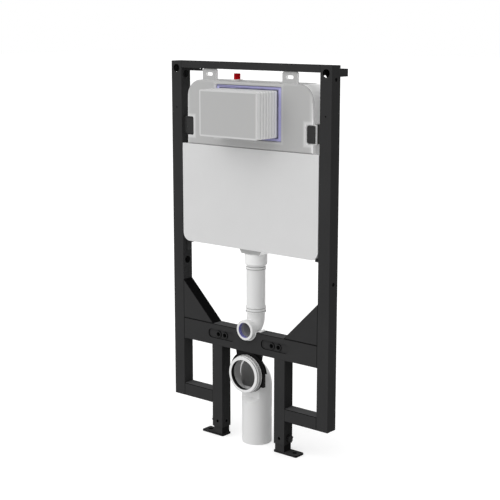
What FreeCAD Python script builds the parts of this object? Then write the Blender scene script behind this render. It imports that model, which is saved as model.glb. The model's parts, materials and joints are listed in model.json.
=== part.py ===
import FreeCAD, Part
import math
import os
import Sketcher
from FreeCAD import Vector

# Wall hung toilet frame with a concealed cistern.
# X runs across the frame, Y from the front to the wall, Z up.
# The pieces are drawn about the middle plane of the frame, with the front
# face at Y 0 and the floor at Z 0. Every piece is then placed so that the
# origin lies under the left leg, in the middle of its foot plate.

doc = FreeCAD.newDocument("WallHungFrame")
sheet = doc.addObject("Spreadsheet::Sheet", "Dims")


class Size:
    """A length with its value and the sheet formula that gives it."""

    def __init__(self, value, text):
        self.value = float(value)
        self.text = text

    def join(self, sign, other):
        if not isinstance(other, Size):
            other = Size(other, repr(float(other)))
        if sign == "+":
            value = self.value + other.value
        elif sign == "-":
            value = self.value - other.value
        elif sign == "*":
            value = self.value * other.value
        else:
            value = self.value / other.value
        return Size(value, "(%s %s %s)" % (self.text, sign, other.text))

    def __add__(self, other):
        return self.join("+", other)

    def __sub__(self, other):
        return self.join("-", other)

    def __mul__(self, other):
        return self.join("*", other)

    def __truediv__(self, other):
        return self.join("/", other)

    def __neg__(self):
        return self.join("*", -1)

    def __radd__(self, other):
        return self.join("+", other)

    def __rmul__(self, other):
        return self.join("*", other)


ZERO = Size(0, "0")
row_number = 0


def dim(name, value):
    """Writes one driving dimension in the sheet and hands it back."""
    global row_number
    row_number += 1
    sheet.set("A%d" % row_number, name)
    sheet.set("B%d" % row_number, str(value))
    sheet.setAlias("B%d" % row_number, name)
    return Size(value, "Dims.%s" % name)


# Steel frame
frame_width = dim("frame_width", 589)
tube_side = dim("tube_side", 39)
tube_wall = dim("tube_wall", 2)
tube_round = dim("tube_round", 3)
upright_foot = dim("upright_foot", 101.5)
frame_top = dim("frame_top", 1135)
top_rail_height = dim("top_rail_height", 20)
crossbar_drop = dim("crossbar_drop", 34.7)
crossbar_height = dim("crossbar_height", 65.3)
crossbar_wall = dim("crossbar_wall", 5)
gusset_side = dim("gusset_side", 120.8)
gusset_wall = dim("gusset_wall", 2.5)
gusset_slope_inset = dim("gusset_slope_inset", 6.2)
lower_rail_height = dim("lower_rail_height", 39.3)
leg_spacing = dim("leg_spacing", 240)
leg_wall = dim("leg_wall", 2.2)
leg_base = dim("leg_base", 27)

# Holes in the frame
access_hole = dim("access_hole", 23)
access_hole_drop = dim("access_hole_drop", 21.2)
tool_hole = dim("tool_hole", 22)
side_hole = dim("side_hole", 11)
side_hole_drop = dim("side_hole_drop", 38.2)
side_hole_spacing = dim("side_hole_spacing", 565.3)
rivet_hole = dim("rivet_hole", 4)
rivet_hole_drop = dim("rivet_hole_drop", 137.3)
leg_hole = dim("leg_hole", 9)
leg_hole_rise = dim("leg_hole_rise", 18.5)

# Feet
foot_plate = dim("foot_plate", 5.5)
foot_plate_inner = dim("foot_plate_inner", 21.5)
foot_plate_outer = dim("foot_plate_outer", 63.5)
foot_plate_round = dim("foot_plate_round", 5)
foot_hole = dim("foot_hole", 13)
foot_hole_offset = dim("foot_hole_offset", 44)
stem_clearance = dim("stem_clearance", 0.5)
stem_wall = dim("stem_wall", 2.5)
stem_room = dim("stem_room", 6.8)
screw_knob = dim("screw_knob", 18)
screw_knob_height = dim("screw_knob_height", 7)
screw_shank = dim("screw_shank", 8)
screw_tip_gap = dim("screw_tip_gap", 0.3)

# Wall brackets
wall_depth = dim("wall_depth", 78)
bracket_height = dim("bracket_height", 21)
bracket_sheet = dim("bracket_sheet", 3)
bracket_reach = dim("bracket_reach", 52)
bracket_flange = dim("bracket_flange", 33)
bracket_inset = dim("bracket_inset", 2.5)
wall_screw_hole = dim("wall_screw_hole", 9)
wall_screw_inset = dim("wall_screw_inset", 43.5)
bracket_bolt = dim("bracket_bolt", 10)
bracket_bolt_head = dim("bracket_bolt_head", 17)
bracket_bolt_head_height = dim("bracket_bolt_head_height", 6)
bolt_clearance = dim("bolt_clearance", 0.5)

# Stud inserts and their recesses in the crossbar
stud_height = dim("stud_height", 321.5)
stud_inner_spacing = dim("stud_inner_spacing", 180)
stud_outer_spacing = dim("stud_outer_spacing", 230)
stud_bore = dim("stud_bore", 12)
insert_flange = dim("insert_flange", 21)
insert_flange_height = dim("insert_flange_height", 1.5)
insert_barrel = dim("insert_barrel", 17)
recess_length = dim("recess_length", 104)
recess_height = dim("recess_height", 28)
recess_depth = dim("recess_depth", 4)

# Cistern
tank_side_gap = dim("tank_side_gap", 22.5)
tank_depth = dim("tank_depth", 74)
tank_headroom = dim("tank_headroom", 33)
tank_lift = dim("tank_lift", 128.1)
tank_corner = dim("tank_corner", 50)
tank_edge = dim("tank_edge", 6)
tank_wall = dim("tank_wall", 3.5)
tab_width = dim("tab_width", 52)
tab_spacing = dim("tab_spacing", 296)
tab_front = dim("tab_front", 4.5)
tab_thickness = dim("tab_thickness", 8)
tab_gap = dim("tab_gap", 0.3)
tab_round = dim("tab_round", 7)
tab_slot_length = dim("tab_slot_length", 26)
tab_slot_height = dim("tab_slot_height", 10)
tab_slot_drop = dim("tab_slot_drop", 15.5)
notch_width = dim("notch_width", 25)
notch_height = dim("notch_height", 55)
notch_drop = dim("notch_drop", 136.5)
notch_depth = dim("notch_depth", 32)
notch_round = dim("notch_round", 6)
lug_front = dim("lug_front", 5.3)
lug_thickness = dim("lug_thickness", 5)
lug_reach = dim("lug_reach", 8)
lug_hole = dim("lug_hole", 12)

# Access window, seal and hood
window_drop = dim("window_drop", 87.2)
window_width = dim("window_width", 196)
window_height = dim("window_height", 116)
seal_width = dim("seal_width", 241)
seal_height = dim("seal_height", 151)
seal_side_band = dim("seal_side_band", 14)
seal_end_band = dim("seal_end_band", 9.2)
seal_front = dim("seal_front", 4.4)
seat_depth = dim("seat_depth", 8)
seat_gap = dim("seat_gap", 2)
seal_round = dim("seal_round", 4)
hood_width = dim("hood_width", 212)
hood_height = dim("hood_height", 132)
hood_reach = dim("hood_reach", 87)
hood_wall = dim("hood_wall", 3)
hood_round = dim("hood_round", 5)
hood_rib_pitch = dim("hood_rib_pitch", 12.5)
hood_rib_count = dim("hood_rib_count", 7)
hood_groove_width = dim("hood_groove_width", 5)
hood_groove_depth = dim("hood_groove_depth", 1.2)

# Insulation panel
panel_side_gap = dim("panel_side_gap", 2)
panel_overhang = dim("panel_overhang", 5.5)
panel_drop = dim("panel_drop", 190)
panel_thickness = dim("panel_thickness", 12)
panel_corner = dim("panel_corner", 25)
panel_gap = dim("panel_gap", 0.3)

# Water inlet
inlet_offset = dim("inlet_offset", -72)
inlet_depth = dim("inlet_depth", 40)
inlet_flange = dim("inlet_flange", 34)
inlet_flange_height = dim("inlet_flange_height", 3)
inlet_stub = dim("inlet_stub", 15)
inlet_stub_height = dim("inlet_stub_height", 12)
cap_diameter = dim("cap_diameter", 19)
cap_rise = dim("cap_rise", 20)
cap_wall = dim("cap_wall", 1.6)

# Side clips and rests that carry the cistern
clip_height = dim("clip_height", 49)
clip_front = dim("clip_front", 3.2)
clip_sheet = dim("clip_sheet", 1.8)
clip_reach = dim("clip_reach", 23)
clip_round = dim("clip_round", 6)
clip_lap = dim("clip_lap", 3)
clip_depth = dim("clip_depth", 29)
rest_height = dim("rest_height", 12)
rest_reach = dim("rest_reach", 22)
rest_front = dim("rest_front", 3)
rest_back = dim("rest_back", 36)
rest_sheet = dim("rest_sheet", 3)
rest_flange = dim("rest_flange", 40)

# Flush pipe
pipe_depth = dim("pipe_depth", 39)
flush_rise = dim("flush_rise", 35)
flush_pipe = dim("flush_pipe", 56.4)
flush_pipe_wall = dim("flush_pipe_wall", 3)
nut_diameter = dim("nut_diameter", 67.5)
nut_drop = dim("nut_drop", 20)
nut_height = dim("nut_height", 31)
nut_taper = dim("nut_taper", 5)
ring_diameter = dim("ring_diameter", 59.6)
ring_drop = dim("ring_drop", 8.5)
ring_height = dim("ring_height", 9)
ring_bevel = dim("ring_bevel", 1)
outlet_top = dim("outlet_top", 92)
flush_socket_rise = dim("flush_socket_rise", 64.5)
flush_socket_height = dim("flush_socket_height", 17)
flush_socket = dim("flush_socket", 59.4)
flush_bead = dim("flush_bead", 61.4)
flush_bead_height = dim("flush_bead_height", 4)
flush_bend_tube = dim("flush_bend_tube", 53.6)
flush_bend_wall = dim("flush_bend_wall", 4.5)
flush_bend_inner = dim("flush_bend_inner", 4.2)
flush_mouth = dim("flush_mouth", 61)
flush_mouth_front = dim("flush_mouth_front", -14)
flush_mouth_length = dim("flush_mouth_length", 13)
flush_mouth_step = dim("flush_mouth_step", 1)
flush_mouth_bore = dim("flush_mouth_bore", 45.6)
flush_collar = dim("flush_collar", 57)
flush_collar_end = dim("flush_collar_end", 7)
flush_seal_front = dim("flush_seal_front", 1.5)
flush_seal_length = dim("flush_seal_length", 6)
flush_seal_depth = dim("flush_seal_depth", 2.5)
cradle_radius = dim("cradle_radius", 34)
cradle_wall = dim("cradle_wall", 2.5)
cradle_flap = dim("cradle_flap", 10)
cradle_flap_front = dim("cradle_flap_front", 8)
cradle_flap_back = dim("cradle_flap_back", 31)
cradle_lip = dim("cradle_lip", 3)
cradle_clearing = dim("cradle_clearing", 4)

# Waste bend
waste_drop = dim("waste_drop", 100)
waste_pipe = dim("waste_pipe", 90)
waste_body = dim("waste_body", 91.2)
waste_spigot = dim("waste_spigot", 108)
waste_wall = dim("waste_wall", 3.3)
waste_end = dim("waste_end", 0)
bracket_web_rise = dim("bracket_web_rise", 31.4)
waste_bend_inner = dim("waste_bend_inner", 0.6)
waste_straight = dim("waste_straight", 1.2)
socket_diameter = dim("socket_diameter", 104)
socket_back = dim("socket_back", 21)
socket_bore = dim("socket_bore", 90.6)
socket_bore_end = dim("socket_bore_end", 20)
mouth_front = dim("mouth_front", -22)
mouth_diameter = dim("mouth_diameter", 109)
mouth_length = dim("mouth_length", 8)
mouth_total = dim("mouth_total", 19)
mouth_step = dim("mouth_step", 1.5)
mouth_ridge = dim("mouth_ridge", 4)
waste_seal_front = dim("waste_seal_front", 0.6)
waste_seal_length = dim("waste_seal_length", 13)
waste_seal_depth = dim("waste_seal_depth", 2.5)
strap_clearance = dim("strap_clearance", 0.3)
strap_wall = dim("strap_wall", 4.5)
strap_width = dim("strap_width", 10)
strap_drop = dim("strap_drop", 33.5)
strap_reach = dim("strap_reach", 3.7)
strap_band = dim("strap_band", 5)
strap_band_rim = dim("strap_band_rim", 1.8)
strap_end = dim("strap_end", 26)
saddle_width = dim("saddle_width", 19)
saddle_rim = dim("saddle_rim", 10)
saddle_rim_rise = dim("saddle_rim_rise", 10.2)
saddle_rim_sheet = dim("saddle_rim_sheet", 3)
saddle_groove_rise = dim("saddle_groove_rise", 4)
saddle_rise = dim("saddle_rise", 8.5)
saddle_top_width = dim("saddle_top_width", 100)
bracket_plate = dim("bracket_plate", 3)
flat_depth = dim("flat_depth", 13.4)
flat_drop = dim("flat_drop", 77)
flat_slope = dim("flat_slope", 14.5)
web_slant = dim("web_slant", 6)
plate_front = dim("plate_front", 6)
socket_taper = dim("socket_taper", 6)

doc.recompute()

access_hole_height = frame_top - access_hole_drop
side_hole_high = frame_top - side_hole_drop
side_hole_low = side_hole_high - side_hole_spacing
rivet_hole_height = frame_top - rivet_hole_drop
leg_hole_height = leg_base + leg_hole_rise
crossbar_base = stud_height - crossbar_drop
stem_top = crossbar_base - stem_room
flush_height = stud_height + flush_rise
flush_socket_top = flush_height + flush_socket_rise
waste_height = stud_height - waste_drop
tank_top = frame_top - top_rail_height - tank_headroom
crossbar_top = crossbar_base + crossbar_height
tank_base = crossbar_top + gusset_side + tank_lift
notch_middle = tank_top - notch_drop
window_middle = tank_top - window_drop
panel_base = tank_base - panel_overhang
panel_top = tank_top - panel_drop
cap_top = tank_top + cap_rise
nut_top = tank_base - nut_drop
nut_base = nut_top - nut_height
ring_top = nut_base - ring_drop
half_width = frame_width / 2
half_depth = tube_side / 2
inner_face = half_width - tube_side
tank_width = (inner_face - tank_side_gap) * 2
panel_width = (inner_face - panel_side_gap) * 2
leg_x = leg_spacing / 2
leg_inner = leg_x - tube_side / 2
leg_outer = leg_x + tube_side / 2
flush_mouth_end = flush_mouth_front + flush_mouth_length
flush_bend_radius = flush_bend_tube / 2 + flush_bend_inner
socket_front = mouth_front + mouth_total
waste_radius = waste_body / 2 + waste_bend_inner
waste_depth = socket_front + waste_straight + waste_radius
mouth_back_diameter = mouth_diameter + mouth_step * 4
flat_base = waste_height - flat_drop
flat_top = waste_height - waste_radius - waste_wall
waste_front = waste_depth - waste_body / 2
finished = []


def bind(thing, name, size):
    """Sets a property to a size and ties it to the sheet."""
    thing.setExpression(name, size.text)


def body_for(name):
    """Starts the body of one sub-part, placed in the frame of the model."""
    body = doc.addObject("PartDesign::Body", name)
    body.Label = name
    bind(body, "Placement.Base.x", leg_x)
    bind(body, "Placement.Base.y", -half_depth)
    finished.append(body)
    return body


def plane_of(body, role):
    for item in body.Origin.OriginFeatures:
        if item.Role == role:
            return item
    raise RuntimeError("no plane " + role)


def place_point(sketch, geometry, point, spot):
    """Ties a point of a sketch to its two coordinates."""
    for axis, kind, size in ((-2, "DistanceX", spot[0]), (-1, "DistanceY", spot[1])):
        if size is ZERO:
            sketch.addConstraint(Sketcher.Constraint("PointOnObject", geometry, point, axis))
            continue
        rule = Sketcher.Constraint(kind, -1, 1, geometry, point, size.value)
        index = sketch.addConstraint(rule)
        sketch.setExpression("Constraints[%d]" % index, size.text)


def vector_of(spot):
    return Vector(spot[0].value, spot[1].value, 0)


def polygon(sketch, spots):
    """Draws a closed outline through the given corners."""
    first = sketch.GeometryCount
    count = len(spots)
    for number in range(count):
        start = vector_of(spots[number])
        end = vector_of(spots[(number + 1) % count])
        sketch.addGeometry(Part.LineSegment(start, end), False)
    for number in range(count):
        line = first + number
        following = first + (number + 1) % count
        sketch.addConstraint(Sketcher.Constraint("Coincident", line, 2, following, 1))
    for number in range(count):
        place_point(sketch, first + number, 1, spots[number])


def rectangle(sketch, left, right, low, high):
    polygon(sketch, [(left, low), (right, low), (right, high), (left, high)])


def circle(sketch, across, up, diameter):
    middle = Vector(across.value, up.value, 0)
    index = sketch.addGeometry(Part.Circle(middle, Vector(0, 0, 1), diameter.value / 2), False)
    place_point(sketch, index, 3, (across, up))
    rule = sketch.addConstraint(Sketcher.Constraint("Diameter", index, diameter.value))
    sketch.setExpression("Constraints[%d]" % rule, diameter.text)


def sketch_on(body, role, level, name, shift=(ZERO, ZERO)):
    """Adds a sketch on a plane of the body, moved along its normal."""
    sketch = body.newObject("Sketcher::SketchObject", name)
    sketch.AttachmentSupport = (plane_of(body, role), [""])
    sketch.MapMode = "FlatFace"
    bind(sketch, "AttachmentOffset.Base.x", shift[0])
    bind(sketch, "AttachmentOffset.Base.y", shift[1])
    bind(sketch, "AttachmentOffset.Base.z", level)
    return sketch


def front_sketch(body, depth, name, shift=(ZERO, ZERO)):
    """A sketch seen from the front, in X and Z, at a depth in Y."""
    return sketch_on(body, "XZ_Plane", -depth, name, shift)


def plan_sketch(body, height, name, shift=(ZERO, ZERO)):
    """A sketch seen from above, in X and Y, at a height in Z."""
    return sketch_on(body, "XY_Plane", height, name, shift)


def side_sketch(body, across, name, shift=(ZERO, ZERO)):
    """A sketch seen from the right, in Y and Z, at a place in X."""
    return sketch_on(body, "YZ_Plane", across, name, shift)


def pad(body, sketch, length, back=False):
    feature = body.newObject("PartDesign::Pad", sketch.Name + "Pad")
    feature.Profile = sketch
    feature.Reversed = back
    bind(feature, "Length", length)
    sketch.Visibility = False
    doc.recompute()
    return feature


def pocket(body, sketch, length, back=False):
    """Cuts a sketch into the body and checks that it removed something."""
    before = body.Shape.Volume
    feature = body.newObject("PartDesign::Pocket", sketch.Name + "Cut")
    feature.Profile = sketch
    feature.Reversed = back
    bind(feature, "Length", length)
    doc.recompute()
    if body.Shape.Volume > before - 1e-3:
        raise RuntimeError(body.Name + ": " + sketch.Name + " cut nothing")
    return feature


def revolve(body, sketch, axis, cut=False, angle=360, back=False):
    kind = "PartDesign::Groove" if cut else "PartDesign::Revolution"
    before = body.Shape.Volume if cut else 0
    feature = body.newObject(kind, sketch.Name + "Turned")
    feature.Profile = sketch
    feature.ReferenceAxis = (sketch, [axis])
    if isinstance(angle, Size):
        bind(feature, "Angle", angle)
    else:
        feature.Angle = angle
    feature.Reversed = back
    doc.recompute()
    if cut and body.Shape.Volume > before - 1e-3:
        raise RuntimeError(body.Name + ": " + sketch.Name + " cut nothing")
    return feature


def edges_where(feature, test):
    names = []
    for number, edge in enumerate(feature.Shape.Edges):
        if test(edge):
            names.append("Edge%d" % (number + 1))
    return names


def runs_along(edge, direction):
    if len(edge.Vertexes) < 2 or not isinstance(edge.Curve, Part.Line):
        return False
    return abs(edge.Curve.Direction.dot(direction)) > 0.999


def dress(body, kind, size_name, size, test):
    feature = body.Tip
    names = edges_where(feature, test)
    if not names:
        raise RuntimeError(body.Name + ": no edge to round")
    dressed = body.newObject("PartDesign::" + kind, body.Name + kind)
    dressed.Base = (feature, names)
    bind(dressed, size_name, size)
    doc.recompute()
    return dressed


def round_edges(body, size, test):
    return dress(body, "Fillet", "Radius", size, test)


def bevel_edges(body, size, test):
    return dress(body, "Chamfer", "Size", size, test)


ALONG_X = Vector(1, 0, 0)
ALONG_Y = Vector(0, 1, 0)
ALONG_Z = Vector(0, 0, 1)


def along(direction):
    return lambda edge: runs_along(edge, direction)


def upright(name, side):
    """A square tube with its access, tool and side holes."""
    body = body_for(name)
    outer = side * half_width
    inner = side * inner_face
    plan = plan_sketch(body, upright_foot, name + "Outline")
    rectangle(plan, outer, inner, ZERO, tube_side)
    pad(body, plan, frame_top - upright_foot)
    round_edges(body, tube_round, along(ALONG_Z))
    hollow = plan_sketch(body, upright_foot, name + "Hollow")
    rectangle(hollow, outer - side * tube_wall, inner + side * tube_wall, tube_wall, tube_side - tube_wall)
    pocket(body, hollow, frame_top - upright_foot - tube_wall, True)
    axis_x = side * (half_width - tube_side / 2)
    front = front_sketch(body, ZERO, name + "Front")
    circle(front, axis_x, access_hole_height, access_hole)
    circle(front, axis_x, rivet_hole_height, rivet_hole)
    pocket(body, front, tube_side / 2)
    back = front_sketch(body, tube_side, name + "Back")
    circle(back, axis_x, access_hole_height, bracket_bolt + bolt_clearance)
    pocket(body, back, tube_side / 2, True)
    inside = side_sketch(body, inner, name + "Inside")
    circle(inside, half_depth, side_hole_high, tool_hole)
    circle(inside, half_depth, side_hole_low, tool_hole)
    pocket(body, inside, tube_side / 2, side > 0)
    outside = side_sketch(body, outer, name + "Outside")
    circle(outside, half_depth, side_hole_high, side_hole)
    circle(outside, half_depth, side_hole_low, side_hole)
    pocket(body, outside, tube_side / 2, side < 0)
    return body


def cross_tube(name, left, right, low, high, wall):
    """A tube that lies across, open at the ends where it is welded."""
    body = body_for(name)
    outline = side_sketch(body, left, name + "Outline")
    rectangle(outline, ZERO, tube_side, low, high)
    pad(body, outline, right - left)
    round_edges(body, tube_round, along(ALONG_X))
    hollow = side_sketch(body, left, name + "Hollow")
    rectangle(hollow, wall, tube_side - wall, low + wall, high - wall)
    pocket(body, hollow, right - left, True)
    return body


def round_ended_cut(body, name, start, across, up, length, height, depth):
    """Cuts a slot with round ends from the front, to a depth."""
    reach = (length - height) / 2
    straight = front_sketch(body, start, name + "Middle")
    rectangle(straight, across - reach, across + reach, up - height / 2, up + height / 2)
    pocket(body, straight, depth)
    for end, word in ((-1, "EndA"), (1, "EndB")):
        tip = front_sketch(body, start, name + word)
        circle(tip, across + end * reach, up, height)
        pocket(body, tip, depth)


def crossbar():
    body = cross_tube("crossbar", -inner_face, inner_face, crossbar_base, crossbar_top, crossbar_wall)
    middle = (stud_inner_spacing + stud_outer_spacing) / 4
    for side, word in ((-1, "Left"), (1, "Right")):
        round_ended_cut(body, "recess" + word, ZERO, side * middle, stud_height,
                        recess_length, recess_height, recess_depth)
    studs = front_sketch(body, ZERO, "studHoles")
    for spacing in (stud_inner_spacing, stud_outer_spacing):
        for side in (-1, 1):
            circle(studs, side * spacing / 2, stud_height, insert_barrel)
    pocket(body, studs, tube_side)
    notch = front_sketch(body, ZERO, "pipeNotch")
    circle(notch, ZERO, flush_height, cradle_radius * 2)
    pocket(body, notch, tube_side)
    return body


def gusset(name, side):
    """A box deep corner brace on top of the crossbar."""
    body = body_for(name)
    corner = side * inner_face
    tip = side * (inner_face - gusset_side)
    outline = front_sketch(body, ZERO, name + "Outline")
    polygon(outline, [(corner, crossbar_top), (tip, crossbar_top), (corner, crossbar_top + gusset_side)])
    pad(body, outline, tube_side, True)
    inset = side * gusset_wall
    hollow = front_sketch(body, tube_side, name + "Hollow")
    polygon(hollow, [(corner - inset, crossbar_top + gusset_wall),
                     (tip + side * gusset_slope_inset, crossbar_top + gusset_wall),
                     (corner - inset, crossbar_top + gusset_side - gusset_slope_inset)])
    pocket(body, hollow, tube_side - gusset_wall, True)
    return body


def lower_rail(name, side):
    if side < 0:
        left = -inner_face
        right = -leg_outer
    else:
        left = leg_outer
        right = inner_face
    return cross_tube(name, left, right, upright_foot, upright_foot + lower_rail_height, tube_wall)


def leg(name, side):
    """The outer tube of a leg, open below, with three holes for its screw."""
    body = body_for(name)
    plan = plan_sketch(body, leg_base, name + "Outline")
    rectangle(plan, side * leg_inner, side * leg_outer, ZERO, tube_side)
    pad(body, plan, crossbar_base - leg_base)
    round_edges(body, tube_round, along(ALONG_Z))
    hollow = plan_sketch(body, leg_base, name + "Hollow")
    rectangle(hollow, side * (leg_inner + leg_wall), side * (leg_outer - leg_wall),
              leg_wall, tube_side - leg_wall)
    pocket(body, hollow, crossbar_base - leg_base, True)
    front = front_sketch(body, ZERO, name + "Front")
    circle(front, side * leg_x, leg_hole_height, leg_hole)
    pocket(body, front, half_depth)
    across = side_sketch(body, side * leg_inner, name + "Across")
    circle(across, half_depth, leg_hole_height, leg_hole)
    pocket(body, across, tube_side, side > 0)
    return body


def foot(name, side):
    """A foot plate with the inner tube that slides in the leg."""
    body = body_for(name)
    plate = plan_sketch(body, ZERO, name + "Plate")
    rectangle(plate, side * (leg_x - foot_plate_inner), side * (leg_x + foot_plate_outer), ZERO, tube_side)
    pad(body, plate, foot_plate)
    round_edges(body, foot_plate_round, along(ALONG_Z))
    inset = leg_wall + stem_clearance
    stem = plan_sketch(body, foot_plate, name + "Stem")
    rectangle(stem, side * (leg_inner + inset), side * (leg_outer - inset), inset, tube_side - inset)
    pad(body, stem, stem_top - foot_plate)
    deep = inset + stem_wall
    hollow = plan_sketch(body, stem_top, name + "Hollow")
    rectangle(hollow, side * (leg_inner + deep), side * (leg_outer - deep), deep, tube_side - deep)
    pocket(body, hollow, stem_top - foot_plate)
    hole = plan_sketch(body, foot_plate, name + "Hole")
    circle(hole, side * (leg_x + foot_hole_offset), half_depth, foot_hole)
    pocket(body, hole, foot_plate)
    front = front_sketch(body, inset, name + "Front")
    circle(front, side * leg_x, leg_hole_height, leg_hole)
    pocket(body, front, stem_wall)
    across = side_sketch(body, side * (leg_inner + inset), name + "Across")
    circle(across, half_depth, leg_hole_height, leg_hole)
    pocket(body, across, stem_wall, side > 0)
    return body


def leg_screw(name, side):
    """The round headed screw that locks the inner tube."""
    body = body_for(name)
    profile = front_sketch(body, half_depth, name + "Profile", (ZERO, leg_hole_height))
    seat = side * leg_outer
    tip = side * (leg_outer - leg_wall - stem_clearance + screw_tip_gap)
    head = side * (leg_outer + screw_knob_height)
    polygon(profile, [(tip, ZERO), (head, ZERO), (head, screw_knob / 2),
                      (seat, screw_knob / 2), (seat, screw_shank / 2), (tip, screw_shank / 2)])
    revolve(body, profile, "H_Axis")
    return body


def wall_bracket(name, side):
    """A folded bracket from the back of the upright to the wall."""
    body = body_for(name)
    outer = side * (half_width - bracket_inset)
    plan = plan_sketch(body, access_hole_height - bracket_height / 2, name + "Plan")
    polygon(plan, [(outer, tube_side),
                   (outer, wall_depth),
                   (outer - side * bracket_reach, wall_depth),
                   (outer - side * bracket_reach, wall_depth - bracket_sheet),
                   (outer - side * bracket_sheet, wall_depth - bracket_sheet),
                   (outer - side * bracket_sheet, tube_side + bracket_sheet),
                   (outer - side * bracket_flange, tube_side + bracket_sheet),
                   (outer - side * bracket_flange, tube_side)])
    pad(body, plan, bracket_height)
    bolt = front_sketch(body, tube_side, name + "BoltHole")
    circle(bolt, side * (half_width - tube_side / 2), access_hole_height, bracket_bolt + bolt_clearance)
    pocket(body, bolt, bracket_sheet)
    wall = front_sketch(body, wall_depth, name + "WallHole")
    circle(wall, outer - side * wall_screw_inset, access_hole_height, wall_screw_hole)
    pocket(body, wall, bracket_sheet, True)
    return body


def bracket_bolt_piece(name, side):
    """The bolt that holds a wall bracket to the upright."""
    body = body_for(name)
    profile = side_sketch(body, side * (half_width - tube_side / 2), name + "Profile",
                          (ZERO, access_hole_height))
    head_front = tube_side - tube_wall - bracket_bolt_head_height
    head_back = tube_side - tube_wall
    nut_front = tube_side + bracket_sheet
    nut_back = nut_front + bracket_bolt_head_height
    polygon(profile, [(head_front, ZERO), (nut_back, ZERO), (nut_back, bracket_bolt_head / 2),
                      (nut_front, bracket_bolt_head / 2), (nut_front, bracket_bolt / 2),
                      (head_back, bracket_bolt / 2), (head_back, bracket_bolt_head / 2),
                      (head_front, bracket_bolt_head / 2)])
    revolve(body, profile, "H_Axis")
    return body


def stud_insert(name, spot):
    """A flanged sleeve that takes one hanging stud of the pan."""
    body = body_for(name)
    profile = side_sketch(body, spot, name + "Profile", (ZERO, stud_height))
    front = recess_depth - insert_flange_height
    polygon(profile, [(front, stud_bore / 2), (front, insert_flange / 2), (recess_depth, insert_flange / 2),
                      (recess_depth, insert_barrel / 2), (tube_side, insert_barrel / 2),
                      (tube_side, stud_bore / 2)])
    revolve(body, profile, "H_Axis")
    return body


def tank():
    """The blow moulded cistern with its hanging tabs and access seat."""
    body = body_for("tank")
    half = tank_width / 2
    outline = front_sketch(body, ZERO, "tankOutline")
    rectangle(outline, -half, half, tank_base, tank_top)
    pad(body, outline, tank_depth, True)
    top = tank_top.value
    round_edges(body, tank_corner,
                lambda edge: runs_along(edge, ALONG_Y) and edge.Vertexes[0].Point.z > top - 1)
    panel_seat = side_sketch(body, -half, "tankPanelSeat")
    rectangle(panel_seat, ZERO, panel_thickness + panel_gap, tank_base, panel_top + panel_gap)
    pocket(body, panel_seat, tank_width, True)
    round_edges(body, tank_edge,
                lambda edge: all(abs(v.Point.y) < 1e-4 for v in edge.Vertexes)
                and min(v.Point.z for v in edge.Vertexes) > panel_top.value)
    for side, word in ((-1, "Left"), (1, "Right")):
        notch = front_sketch(body, ZERO, "tankNotch" + word)
        rectangle(notch, side * (half - notch_width), side * half,
                  notch_middle - notch_height / 2, notch_middle + notch_height / 2)
        pocket(body, notch, notch_depth)
        corner_x = (half - notch_width).value
        round_edges(body, notch_round,
                    lambda edge: runs_along(edge, ALONG_Y)
                    and abs(edge.Vertexes[0].Point.x - side * corner_x) < 1e-3
                    and abs(edge.Vertexes[0].Point.z - notch_middle.value) < notch_height.value)
        lug = front_sketch(body, lug_front, "tankLug" + word)
        rectangle(lug, side * (half - notch_width), side * (half + lug_reach),
                  notch_middle - notch_height / 2, notch_middle + notch_height / 2)
        pad(body, lug, lug_thickness, True)
        grip = front_sketch(body, lug_front, "tankLugHole" + word)
        circle(grip, side * (half - notch_width / 2 + lug_reach / 2), notch_middle, lug_hole)
        pocket(body, grip, lug_thickness)
    hollow = front_sketch(body, panel_thickness + panel_gap + tank_wall, "tankHollow")
    rectangle(hollow, -half + tank_wall + notch_width, half - tank_wall - notch_width,
              tank_base + tank_wall, tank_top - tank_wall)
    cavity = body.newObject("PartDesign::Pocket", "tankCavity")
    cavity.Profile = hollow
    cavity.Reversed = False
    bind(cavity, "Length", tank_depth - panel_thickness - panel_gap - tank_wall * 2)
    doc.recompute()
    seat = front_sketch(body, ZERO, "tankSeat")
    rectangle(seat, -seal_width / 2 - seat_gap, seal_width / 2 + seat_gap,
              window_middle - seal_height / 2 - seat_gap, window_middle + seal_height / 2 + seat_gap)
    pocket(body, seat, seat_depth)
    window = front_sketch(body, seat_depth, "tankWindow")
    rectangle(window, -window_width / 2, window_width / 2,
              window_middle - window_height / 2, window_middle + window_height / 2)
    pocket(body, window, panel_thickness + panel_gap + tank_wall)
    for side, word in ((-1, "Left"), (1, "Right")):
        middle = side * tab_spacing / 2
        tab = front_sketch(body, tab_front, "tankTab" + word)
        rectangle(tab, middle - tab_width / 2, middle + tab_width / 2,
                  tank_top - tank_edge * 2, frame_top - top_rail_height - tab_gap)
        pad(body, tab, tab_thickness, True)
    tab_top = (frame_top - top_rail_height - tab_gap).value
    round_edges(body, tab_round,
                lambda edge: runs_along(edge, ALONG_Y)
                and edge.Vertexes[0].Point.z > tab_top - 1e-3)
    for side, word in ((-1, "Left"), (1, "Right")):
        round_ended_cut(body, "tankTabSlot" + word, tab_front, side * tab_spacing / 2,
                        frame_top - top_rail_height - tab_slot_drop,
                        tab_slot_length, tab_slot_height, tab_thickness)
    outlet = front_sketch(body, panel_thickness + panel_gap, "tankOutlet")
    polygon(outlet, [(-outlet_top / 2, tank_base), (-nut_diameter / 2, nut_top),
                     (nut_diameter / 2, nut_top), (outlet_top / 2, tank_base)])
    pad(body, outlet, tank_depth - panel_thickness - panel_gap, True)
    drain = plan_sketch(body, nut_top, "tankDrain")
    circle(drain, ZERO, pipe_depth, flush_pipe - flush_pipe_wall * 2)
    pocket(body, drain, tank_base - nut_top + tank_wall, True)
    return body


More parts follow.
